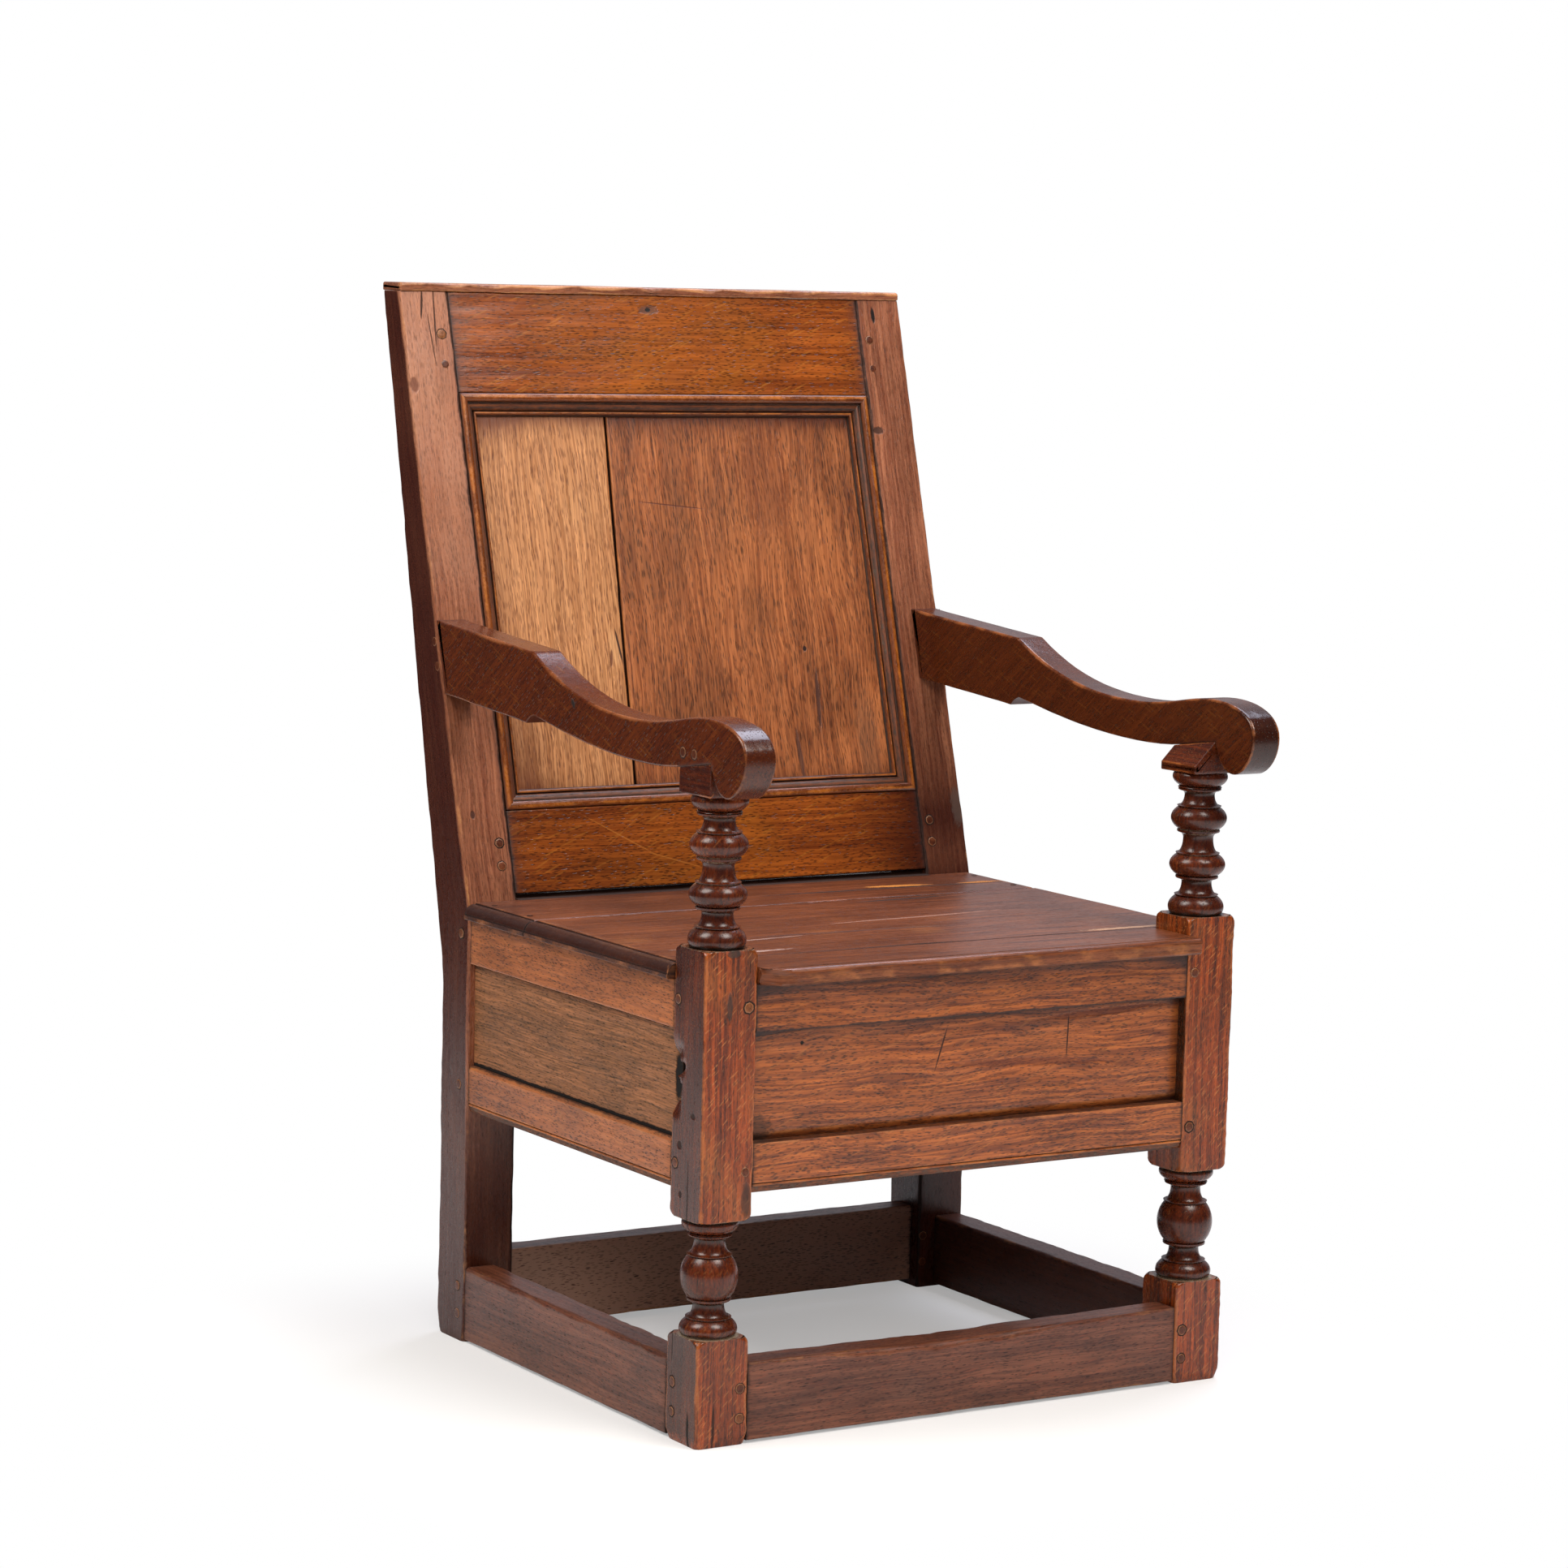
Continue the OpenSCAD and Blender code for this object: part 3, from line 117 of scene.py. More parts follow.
# Rounds the corners of sections. Each corner's arc has its centre on the bisector, at radius / sin(half
# angle), and runs between the two tangent points; a few points on each flat keep its shading flat
def roundedRings(corners, radii, steps, supports, between):
    before, after = unit(np.roll(corners, 1, axis=1) - corners), unit(np.roll(corners, -1, axis=1) - corners)
    half = np.arccos(np.clip((before * after).sum(-1, keepdims=True), -0.9999, 0.9999)) / 2
    radius = radii[..., None]
    reach = radius / np.tan(half)
    centre = corners + unit(before + after) * radius / np.sin(half)
    first = (corners + before * reach - centre)[:, :, None]
    last = (corners + after * reach - centre)[:, :, None]
    turn = (math.pi - 2 * half)[:, :, None]
    t = np.linspace(0, 1, steps + 1)[:, None]
    arc = centre[:, :, None] + (np.sin((1 - t) * turn) * first + np.sin(t * turn) * last) / np.sin(turn)
    away = reach[:, :, None] + np.array(supports)[:, None]
    ahead = corners[:, :, None] + after[:, :, None] * away
    behind = (corners[:, :, None] + before[:, :, None] * away)[:, :, ::-1]
    t = np.linspace(0, 1, between + 2)[1:-1, None]
    flat = ahead[:, :, -1:] * (1 - t) + np.roll(behind[:, :, :1], -1, axis=1) * t
    rings = np.concatenate([behind, arc, ahead, flat], axis=2)
    fade = [0.4] + [0] * (len(supports) - 1)
    weights = np.array(fade[::-1] + [1] * (steps + 1) + fade + [0] * between)
    return rings.reshape(len(corners), -1, 2), np.tile(weights, corners.shape[1])


# Places along a length, close together at both rounded ends, and how far the section is drawn in at each
def stationsOf(low, high, endRadius, step):
    turn = np.radians([0, 35, 65, 90])
    ends = np.concatenate([[0], endRadius * (1 - np.cos(turn))])
    inset = np.concatenate([[endRadius + 2], endRadius * (1 - np.sin(turn))])
    near = np.array([1, 4]) + endRadius
    count = max(2, int((high - low) / step))
    run = np.linspace(low + endRadius + 4, high - endRadius - 4, count + 1)[1:-1]
    stations = np.concatenate([low + ends, low + near, run, high - near[::-1], high - ends[::-1]])
    return stations, np.concatenate([inset, np.zeros(len(run) + 4), inset[::-1]])


# A stick of wood: rounded sections carried along its length. Corners may be a function of the stations.
# The arris radius wanders with the waves, and each chip (corner, place, length, size) swells it like a bell.
# Edges says how worn each corner is; below 0 it lies in a joint and holds grime
def stick(corners, span, axes, radius=1.5, seed=1, endRadius=0.8, step=9, wobble=0.2, chips=(), grime=1.0,
          between=2, steps=3, supports=(1.0, 4.0), tone=0.0, edges=1.0):
    stations, insets = stationsOf(*span, endRadius, step)
    outline = corners(stations) if callable(corners) else np.array(corners, float)
    outline = np.broadcast_to(outline, (len(stations),) + outline.shape[-2:]).copy()
    count = outline.shape[1]
    keys = together(stations[:, None], cornerKey * np.arange(count))
    radii = radius(stations) if callable(radius) else np.array(radius, float)
    radii = radii * (1 + 0.45 * waves(seed, keys, 60) + 0.25 * waves(seed + 1, keys, 17))
    for corner, place, length, size in chips:
        radii[:, corner] += size * bell(stations, place, length)
    towards = unit(np.roll(outline, 1, axis=1) - outline)
    forward = unit(np.roll(outline, -1, axis=1) - outline)
    turned = (towards[..., 0] * forward[..., 1] - towards[..., 1] * forward[..., 0])[..., None]
    sign = np.where(turned * np.sign(turned.sum(1, keepdims=True)) < 0, -1.0, 1.0)
    outline += sign * (towards + forward) / np.abs(turned) * insets[:, None, None]
    radii = np.maximum(radii - insets[:, None] * 0.7, 0.25)
    rings, weights = roundedRings(outline, radii, steps, supports, between)
    weights = weights * np.repeat(np.broadcast_to(edges, count), len(weights) // count)
    grain = together(stations[:, None], rings[..., 0], rings[..., 1])
    return carry(grain, wobble, axes, weights, span, grime, seed, tone)


def shellOf(points, grain, wear, dirt, dust, tone):  # a grid of points, and what the finish reads at each
    state = together(np.clip(wear, 0, 1), np.clip(dirt, 0, 1), dust)
    return {"points": points, "grain": grain, "state": state, "tone": tone}


# Takes (along, across, depth) to the piece's place, and works out wear on arrises and grime towards the ends.
# Tone is the finish's own slow change, with painted shade and light in places: below 0 dark, above 0 bright
def carry(grain, wobble, axes, weights, span, grime, seed, tone):
    origin, along, across, depth = axes
    moved = grain[..., 1:] + together(waves(seed + 2, grain, 170), waves(seed + 3, grain, 170)) * wobble
    points = origin + grain[..., :1] * along + moved[..., :1] * across + moved[..., 1:] * depth
    nearEnd = np.minimum(np.abs(grain[..., 0] - span[0]), np.abs(grain[..., 0] - span[1]))
    wear = weights * (0.65 + 0.45 * waves(seed + 4, grain, 55))
    dirt = np.maximum(grime * (0.75 * np.exp(-nearEnd / 1.6) + 0.4 * np.exp(-nearEnd / 8)), -weights)
    shade = (tone(grain) if callable(tone) else tone) + 0.12 * waves(seed + 5, grain, 110)
    return shellOf(points, grain, wear, dirt, 0.0, shade)


# Adds points to a closed outline so that none are further apart than limit; its own points stay
def densify(outline, limit):
    closed = np.vstack([outline, outline[:1]])
    knots = np.concatenate([[0], np.cumsum(np.linalg.norm(np.diff(closed, axis=0), axis=1))])
    extra = np.arange(0, knots[-1], limit)
    gap = np.abs(extra[:, None] - knots[None]).min(1)
    places = np.sort(np.concatenate([knots[:-1], extra[gap > limit * 0.3]]))
    return together(*(np.interp(places, knots, closed[:, i]) for i in (0, 1)))


# How sharply a closed outline turns at each point: above 0 where it bulges, below 0 in hollows
def bulges(outline):
    before, after = outline - np.roll(outline, 1, axis=0), np.roll(outline, -1, axis=0) - outline
    turn = np.arctan2(before[:, 0] * after[:, 1] - before[:, 1] * after[:, 0], (before * after).sum(1))
    return turn * np.sign(turn.sum())


# A moulded length: one drawn section carried from end to end, cut back by mitre times its first coordinate
def mouldedLength(section, span, axes, seed=1, mitre=0, wobble=0.15, grime=1.0, tone=0.0):
    section = densify(np.array(section, float), 5)
    turn = bulges(section)
    stations, insets = stationsOf(*span, 0.5, 9)
    centre, size = section.mean(0), np.ptp(section, axis=0).max()
    rings = centre + (section - centre)[None] * (1 - insets[:, None, None] / size * 1.2)
    share = (stations - span[0]) / (span[1] - span[0])
    places = stations[:, None] + mitre * rings[..., 0] * (1 - 2 * share[:, None])
    grain = together(places, rings[..., 0], rings[..., 1])
    shell = carry(grain, wobble, axes, np.clip(turn / 0.5, 0, 1), span, grime, seed, tone)
    shell["state"][..., 1] = np.maximum(shell["state"][..., 1], np.clip(-turn / 0.6, 0, 1)[None])
    return shell


def meshOf(name, shells):  # rings joined by quads, with a flat face on each end
    faces, start = [], 0
    for shell in shells:
        rows, columns = shell["points"].shape[:2]
        index = np.arange(rows * columns).reshape(rows, columns) + start
        ahead = np.roll(index, -1, axis=1)
        quads = np.stack([index[:-1], ahead[:-1], ahead[1:], index[1:]], -1).reshape(-1, 4)
        faces += quads.tolist() + [index[0][::-1].tolist(), index[-1].tolist()]
        start += rows * columns

    def gathered(key, *width):
        grids = (np.broadcast_to(shell[key], shell["points"].shape[:2] + width) for shell in shells)
        return np.concatenate([grid.reshape(-1, *width) for grid in grids])
    mesh = bpy.data.meshes.new(name)
    mesh.from_pydata(((gathered("points", 3) + [0, frontY, 0]) / 1000).tolist(), [], faces)
    work = bmesh.new()
    work.from_mesh(mesh)
    bmesh.ops.recalc_face_normals(work, faces=work.faces)
    work.to_mesh(mesh)
    work.free()
    for label in ("grain", "state"):
        attribute = mesh.attributes.new(label, "FLOAT_VECTOR", "POINT")
        attribute.data.foreach_set("vector", gathered(label, 3).astype(np.float32).ravel())
    tone = mesh.attributes.new("tone", "FLOAT", "POINT")
    tone.data.foreach_set("value", gathered("tone").astype(np.float32))
    mesh.polygons.foreach_set("use_smooth", np.ones(len(mesh.polygons), bool))
    mesh.set_sharp_from_angle(angle=math.radians(sharpDegrees))
    return mesh


def makePiece(name, shells, material, node, body="frame"):
    piece = bpy.data.objects.new(name, meshOf(name, shells))
    bpy.context.scene.collection.objects.link(piece)
    piece.data.materials.append(material)
    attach(piece, body)
    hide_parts(node)


def rectangle(one, other):  # corners of a plain section between two opposite (across, depth) corners
    low, high = np.sort([one, other], axis=0)
    return np.array([[low[0], low[1]], [high[0], low[1]], [high[0], high[1]], [low[0], high[1]]], float)


def linear(code):  # an sRGB hex colour as Blender's linear colour
    parts = np.array([int(code[i:i + 2], 16) / 255 for i in (1, 3, 5)])
    light = np.where(parts <= 0.04045, parts / 12.92, ((parts + 0.055) / 1.055) ** 2.4)
    return (*light.tolist(), 1.0)


def addNode(tree, kind, inputs, **settings):
    node = tree.nodes.new("ShaderNode" + kind)
    for name, value in settings.items():
        setattr(node, name, value)
    for name, value in inputs.items():
        if isinstance(value, bpy.types.NodeSocket):
            tree.links.new(value, node.inputs[name])
        else:
            node.inputs[name].default_value = value
    return node.outputs


def emptyTree(holder):  # the node tree of a new material or world, cleared
    holder.use_nodes = True
    holder.node_tree.nodes.clear()
    return holder.node_tree


def calc(tree, operation, *values, kind="Math", out=0):  # one step of arithmetic
    return addNode(tree, kind, dict(enumerate(values)), operation=operation)[out]


def stepped(tree, value, low, high, bottom=0.0, top=1.0, kind="SMOOTHSTEP"):
    return addNode(tree, "MapRange", {"Value": value, "From Min": low, "From Max": high, "To Min": bottom,
                                      "To Max": top}, interpolation_type=kind)[0]


def mixed(tree, share, first, second, blend="MIX"):
    return addNode(tree, "MixRGB", {"Fac": share, "Color1": first, "Color2": second}, blend_type=blend)[0]


# What every waxed oak starts from; each finish names only what differs. Lengths are in millimetres
plainOak = {
    "dark": "#6e3416", "light": "#a65a28", "pore": "#1d0c06", "ray": "#c98a3c", "patina": "#34140b",
    "deep": "#3a170c", "bright": "#c07a3c", "worn": "#b8713a", "grimy": "#1a0e0a", "dusty": "#a08c76",
    "bandWidth": 3.4, "bandRun": 240.0, "bend": 3.0, "bandSharp": 0.24,
    "poreLength": 11.0, "poreWidth": 2.5, "poreSize": 0.25, "poreShare": 0.7,
    "fineLength": 8.0, "fineWidth": 1.6, "fineSize": 0.40, "fineShare": 0.5,
    "rayLength": 46.0, "rayWidth": 3.6, "rayTurn": 22.0, "rayShare": 0.0,
    "patinaShare": 0.35, "patinaSize": 60.0, "wornShare": 0.6, "grimeDull": 0.4,
    "rough": 0.33, "uneven": 0.3, "ior": 1.45, "coat": 0.2, "bump": 1.0, "marks": (),
}


# A stain, split, knot or scratch: its middle in the piece's grain, its half lengths, its colour and how
# strongly it shows, how ragged it is, its turn in degrees, and whether it dulls and sinks the surface
def mark(at, size, colour, share=0.8, ragged=0.6, turn=0, dulls=True):
    return at, size, colour, share, ragged, turn, dulls


# Oak seen on a sawn or riven face: slow bands of early and late wood, fine fibres, dark open pores in short
# dashes and paler ray flecks that lie across the grain; under old wax, dark in hollows and pale on arrises
def oak(name, turned=None, **changes):
    look = {**plainOak, **changes}
    material = bpy.data.materials.new(name)
    tree = emptyTree(material)

    def stretched(vector, size, place=(0, 0, 0), turn=0.0):  # a box of this size becomes one unit
        return addNode(tree, "Mapping", {"Vector": vector, "Location": place, "Scale": size,
                                         "Rotation": (0, 0, math.radians(turn))}, vector_type="TEXTURE")[0]

    def noise(vector, size, detail=2.0, rough=0.5, place=(0, 0, 0), out=0):
        return addNode(tree, "TexNoise", {"Vector": stretched(vector, size, place), "Scale": 1.0,
                                          "Detail": detail, "Roughness": rough})[out]

    def cells(kind, across=1, **where):  # distance from the middles of long cells
        length, width = look[kind + "Length"], look[kind + "Width"]
        where = stretched(bent, (length, width, width * across), **where)
        return addNode(tree, "TexVoronoi", {"Vector": where, "Scale": 1.0})["Distance"]

    def plus(value, factor, base):
        return calc(tree, "MULTIPLY_ADD", value, factor, base)

    def ramp(value, low, high, top=1.0):
        return stepped(tree, value, low, high, 0.0, top)

    def over(base, share, code):  # a colour laid over the base by its share
        return mixed(tree, share, base, linear(code))

    def attribute(name, out):
        return addNode(tree, "Attribute", {}, attribute_name=name)[out]

    if turned is None:
        grain = attribute("grain", "Vector")
    else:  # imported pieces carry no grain, so it is read from their place, turned to their length
        place = addNode(tree, "TexCoord", {})["Object"]
        grain = addNode(tree, "Mapping", {"Vector": place, "Rotation": turned, "Scale": (0.001,) * 3},
                        vector_type="TEXTURE")[0]
    bend, width, patch = 4 * look["bend"], look["bandWidth"], look["patinaSize"]
    drift = noise(grain, (150, 45, 45), out="Color")
    bent = calc(tree, "MULTIPLY_ADD", drift, (0, bend, bend), grain, kind="VectorMath")
    bands = noise(bent, (look["bandRun"], width, width), 3.0, 0.62)
    fibre = noise(bent, (40, 1.3, 1.3))
    speckle = noise(grain, (7, 4, 4), 3.0, 0.65)
    patinaNoise = noise(grain, (patch * 2, patch * 0.7, patch * 0.7), 4.0, 0.6, (31, 17, 5))
    # A pore is a spindle round the middle of each cell, thicker where the bands are dark
    edge = look["poreSize"] + 0.275
    pores = ramp(plus(bands, 0.55, cells("pore")), edge, edge - 0.14)
    edge = look["fineSize"] - 0.17
    finePores = ramp(plus(patinaNoise, -0.35, cells("fine", place=(3, 2, 1))), edge, edge - 0.18)

    share = ramp(bands, 0.5 - look["bandSharp"], 0.5 + look["bandSharp"])
    colour = mixed(tree, share, linear(look["dark"]), linear(look["light"]))
    colour = mixed(tree, 1.0, colour, stepped(tree, fibre, 0.3, 0.7, 0.74, 1.24, "LINEAR"), "MULTIPLY")
    if look["rayShare"] > 0:
        rays = ramp(cells("ray", 2, turn=look["rayTurn"]), 0.34, 0.12, look["rayShare"])
        colour = over(colour, rays, look["ray"])
    colour = over(colour, ramp(patinaNoise, 0.40, 0.66, look["patinaShare"]), look["patina"])
    # Tone carries the finish's own change and, on some pieces, painted shade and painted light
    if turned is None:
        mottled = plus(patinaNoise, 0.6, attribute("tone", "Fac"))
        colour = over(colour, ramp(mottled, 0.25, -0.75, 0.9), look["deep"])
        colour = over(colour, ramp(mottled, 0.35, 1.35, 0.9), look["bright"])
    for holes, share in ((finePores, look["fineShare"]), (pores, look["poreShare"])):
        colour = over(colour, calc(tree, "MULTIPLY", holes, share), look["pore"])
    # The state's second part, dirt, also carries painted shade in a few gaps and recesses
    if turned is None:
        parts = addNode(tree, "SeparateXYZ", {0: attribute("state", "Vector")})
        for part, low, share, code in (("X", 0.80, look["wornShare"], look["worn"]),
                                       ("Y", 0.75, 0.9, look["grimy"]), ("Z", 0.75, 0.8, look["dusty"])):
            raised = calc(tree, "ADD", parts[part], speckle)
            colour = over(colour, ramp(raised, low, 1.5, share), code)
    spoiled = None
    for at, size, code, share, ragged, turn, dulls in look["marks"]:
        away = calc(tree, "LENGTH", stretched(grain, size, at, turn), kind="VectorMath", out="Value")
        rim = 1 + ragged * 0.5
        share = ramp(plus(speckle, ragged, away), rim + 0.15, rim - 0.3, share)
        colour = over(colour, share, code)
        if dulls:
            spoiled = calc(tree, "MAXIMUM", share, spoiled) if spoiled else share
    # Wax fills the pores unevenly, so the sheen breaks up with the speckle and is duller in the pores
    dull = plus(speckle, look["uneven"], look["rough"] - look["uneven"] / 2)
    # Heights in millimetres: open pores, fibres, late wood standing proud, and the plane's soft hollows
    height = calc(tree, "MULTIPLY", pores, -0.14 * look["bump"])
    if turned is None:
        dull = plus(parts["Y"], look["grimeDull"], dull)
    if spoiled:
        dull, height = plus(spoiled, 0.5, dull), plus(spoiled, -0.5, height)
    for value, tall in ((fibre, 0.04), (bands, 0.08), (noise(grain, (90, 22, 22)), 0.8), (speckle, 0.06)):
        height = plus(value, tall * look["bump"], height)
    normal = addNode(tree, "Bump", {"Height": height, "Distance": 0.001, "Strength": 1.0})[0]
    shader = addNode(tree, "BsdfPrincipled", {
        "Base Color": colour, "Roughness": plus(pores, 0.15, dull), "Normal": normal, "IOR": look["ior"],
        "Coat Weight": look["coat"], "Coat Roughness": 0.14, "Coat IOR": 1.4})[0]
    addNode(tree, "OutputMaterial", {"Surface": shader})
    return material


splitAndShadeBlack, ink, umber, char = "#120a06", "#1a0d08", "#220f09", "#34150a"  # splits, holes, old stains, and black lines of painted shade
deepIn = 3000  # a mark as deep as this runs through the whole piece

# Oak of the arms, waxed and handled until it is nearly black-brown
darkOak = oak(
    "waxedDarkOak", dark="#45190a", light="#612c0e", worn="#9a5a30", deep="#220d08", rough=0.24, uneven=0.14,
    coat=0.0, bandSharp=0.34, patinaShare=0.3, rayShare=0.08, rayTurn=60,
    marks=(mark((-205.8, 674.3, -292), (4, 7, 9), "#0c0705", 1),))
# Oak of the turned posts: dark red-brown under a gloss, with short bright ray flecks across the squares
turnedOak = oak(
    "turnedDarkOak", dark="#4e1c07", light="#984214", worn="#a8602f", deep="#2c0e08", rough=0.27, uneven=0.12,
    coat=0.0, ior=1.44, grimeDull=0.0, grimy="#1d1810", bandSharp=0.18, bump=0.6, patinaShare=0.3,
    ray="#c8834a", rayShare=0.5, rayTurn=45, rayLength=18, rayWidth=1.8, marks=(
        mark((306, -527, -11), (3, 5, 4), ink), mark((276, -527, 12), (4, 5, 4), ink),
        mark((231, -527, 9), (3, 5, 3), ink), mark((228, -527, -4), (38, 5, 0.9), ink),
        mark((88, -527, 17), (15, 5, 0.8), ink), mark((14, -527, -13), (20, 5, 2.0), splitAndShadeBlack, 1),
        mark((18, -509, -27), (24, 1.2, 5), ink), mark((455, -498, -27), (4, 8, 5), "#2c2622", 0.8, 1.0),
        mark((405, -501, -27), (14, 3, 5), "#2c2622", 0.8, 1.0),
        mark((228, -479, -27), (15, 6, 5), "#3a2a24", 0.7, 1.0)))
# Oak of the stiles, a cooler red-brown with little figure
stileOak = oak(
    "waxedReddishOak", dark="#6f3d2a", light="#9c6448", bright="#c98f70", deep="#300d08", worn="#c08552",
    patinaShare=0.3, poreShare=0.25, fineShare=0.35, fineLength=9, rough=0.28, ior=1.34, coat=0.05, marks=(
        mark((1021, 264, 500), (9, 2.5, deepIn), "#120a07", 1),
        mark((1012, -262, 500), (34, 0.9, deepIn), "#1c0e09", turn=3),
        mark((990, -268, 500), (26, 0.7, deepIn), "#1c0e09", turn=-4),
        mark((1024, -275, 500), (16, 1.2, deepIn), "#1c0e09", 0.9, turn=8),
        mark((944, -293, 500), (8, 5, deepIn), "#5a2c1c", 0.7),
        mark((509, 292, 500), (20, 7, deepIn), "#4a3c34", 0.6, 1.2),
        mark((525, -282, 500), (4, 3, deepIn), "#301610"),
        mark((900, 253, 500), (4, 8, deepIn), "#241009", 0.8, 1.0)))
# Oak of the box's front, golden with dark lines of open pores
goldenOak = oak(
    "waxedGoldenOak", dark="#5e290e", light="#ac5c25", ray="#b87434", bright="#c06a2a", deep="#2c120a",
    bandSharp=0.2, bandRun=150, bend=6, rayShare=0.25, patinaShare=0.25, fineShare=0.65, poreWidth=2.4,
    poreSize=0.25, poreLength=8, poreShare=0.6, marks=(
        mark((-236, 288, 14), (20, 16, 20), "#33241a", 0.6, 1.4),
        mark((-186, 366, 14), (2, 2, 20), splitAndShadeBlack, 1, 0.2),
        mark((113, 353, 14), (0.9, 24, 20), "#2a140a", 0.9, turn=-2),
        mark((-32, 350, 14), (22, 0.9, 20), "#2a140a", 0.9, turn=72),
        mark((150, 372, 14), (70, 3.5, 20), "#5a2410", 0.6, 1.6, 2),
        mark((60, 330, 14), (90, 4.0, 20), "#5a2410", 0.5, 1.6, -3)))
# Oak of the back's rails, the glossiest and most orange
backRailOak = oak(
    "waxedBackRailOak", dark="#622a0b", light="#984e18", ray="#b87a2c", bright="#b0661c", deep="#3e160a",
    rayShare=0.25, patinaShare=0.3, fineShare=0.65, poreShare=0.5, bandRun=320, rough=0.22, uneven=0.1,
    coat=0.0, marks=(
        mark((-13, 620, 0), (12, 5, 20), "#2a1008", 0.6, 1.2),
        mark((-13, 620, 0), (3.5, 2.5, 20), "#0e0604", 1),
        mark((-118, 75, 0), (44, 0.8, 20), "#b4702e", 0.45, 1.0, -29, False),
        mark((-58, 47, 0), (34, 0.8, 20), "#b4702e", 0.4, 1.0, -17, False),
        mark((-112, 80, 0), (36, 0.6, 20), "#b4702e", 0.25, 1.0, 36, False)))
# Oak of the narrow back board, pale and coarse
paleOak = oak(
    "palePanelOak", dark="#966038", light="#c48a5a", ray="#ddab6a", pore="#5a2a12", patina="#7a3f1c",
    deep="#64301a", bright="#d9a870", patinaShare=0.15, coat=0.1, bandWidth=2.4, bandSharp=0.17,
    fineLength=14, fineShare=0.6, poreShare=0.5, poreWidth=3.6, poreLength=14, marks=(
        mark((268, -92, 12), (20, 5, 20), "#d8a572", 0.35, turn=-6, dulls=False),
        mark((271, -87, 12), (20, 1.2, 20), "#2a120a", 0.95, turn=-8),
        mark((258, -97, 12), (9, 1.6, 20), "#5a2a14", turn=10)))
# Oak of the wide back board, mid brown with a small knot and shallow splits
redOak = oak(
    "redPanelOak", dark="#733a1c", light="#ae693c", patinaShare=0.4, deep="#451a0e", bright="#b97746",
    bandWidth=2.6, fineLength=14, fineShare=0.65, poreShare=0.35, bend=5, marks=(
        mark((207, 144, 12), (34, 2.4, 20), char, 0.85, 1.2, 2),
        mark((148, 114, 12), (30, 2.6, 20), char, 0.7, 1.2, -3),
        mark((262, 135, 12), (3, 2.5, 20), "#240e07", 1),
        mark((160, 200, 12), (60, 14, 20), "#8a6a50", 0.15, 1.8, dulls=False),
        mark((440, 110, 12), (60, 30, 20), "#5e2a14", 0.35, 1.8, dulls=False),
        mark((416, -5, 12), (0.7, 40, 20), "#552612", turn=6)))
# Oak worked with a scratch stock: the back's moulding, rubbed on its beads
mouldingOak = oak("scratchMouldedOak", dark="#54260f", light="#85461d", worn="#a8601f", wornShare=0.9,
                  dusty="#9a8d78", grimy="#1e1712", rough=0.27, poreShare=0.3, fineShare=0.3)
# Oak of the box's side rails, thinly waxed
sideRailOak = oak("sideRailOak", dark="#864a26", light="#b56a38", bandSharp=0.36, poreLength=8, ray="#c2854a",
                  rayShare=0.2, coat=0.1, rough=0.42, fineShare=0.6, poreWidth=2.4)
# Riven oak of the side and rear panels, dry and drab, with its ribs left standing and painted shade along the
# rails
drabOak = oak(
    "rivenDrabOak", dark="#634022", light="#9f6740", pore="#2a1b10", bandWidth=1.7, bandRun=60, bandSharp=0.2,
    bend=2.5, bump=2.6, coat=0.0, rough=0.6, patinaShare=0.3, patina="#4b3622", fineShare=0.5, marks=(
        # Painted shade: a black patch seen through the void in the left post, and black lines where the
        # panels sink behind the rails
        mark((54, 336, -290), (7, 26, 30), "#0b0604", 1, 0.8),
        mark((250, 279.5, 0), (deepIn, 3.2, deepIn), splitAndShadeBlack, 1, 0.8),
        mark((250, 382, 0), (deepIn, 3.0, deepIn), splitAndShadeBlack, 0.9, 0.8)))
# Oak of the seat, scuffed, with pale scratches and splits in its boards
seatOak = oak(
    "wornSeatOak", dark="#522816", light="#824829", worn="#a8683c", deep="#2a110b", patinaShare=0.35,
    rough=0.36, coat=0.0, poreShare=0.3, fineShare=0.35, marks=(
        mark((0, 330, 442), (310, 2.2, 30), umber, 0.8, 1.4),
        mark((0, 57, 442), (310, 2.6, 30), umber, 0.8, 1.4),
        mark((150, 382, 442), (155, 3.5, 30), umber, 0.9, 0.8, -1),
        mark((165, 393, 442), (38, 6, 30), "#c27c30", 0.85, 1.2, -6),
        mark((262, 386, 442), (26, 5, 30), "#c27c30", 0.7, 1.2),
        mark((125, 314, 442), (60, 3.5, 30), umber, 0.9, 0.8, 4),
        mark((215, 66, 442), (60, 5, 30), "#c9a488", 0.6, 1.6),
        mark((-215, 78, 442), (60, 4, 30), "#c9aca2", 0.55, 1.6, 3),
        mark((-235, 110, 442), (34, 4, 30), "#c9aca2", 0.5, 1.6, -7),
        mark((-170, 140, 442), (70, 2.5, 30), "#c9aca2", 0.4, 1.6, 5),
        mark((60, 205, 442), (110, 2.5, 30), "#b98f7e", 0.4, 1.6, 4),
        mark((-40, 150, 442), (130, 3, 30), "#3e1c11", 0.6, 1.6, -2)))
# Oak of the stretchers, scuffed by feet; its bright colour is painted light on the rear stretcher's front
stretcherOak = oak("scuffedStretcherOak", dark="#50281a", light="#7a4832", bright="#ac8470", worn="#a8703f",
                   patinaShare=0.45, rough=0.42, coat=0.1, ray="#8a3e22", rayShare=0.3, rayLength=26,
                   rayWidth=3, rayTurn=8)
# Riven oak of the pegs, seen on their end grain
pegOak = oak("rivenPegOak", dark="#471f10", light="#6f3a20", worn="#a87a56", ior=1.36, coat=0.0, bump=0.6,
             grimy="#180d09")
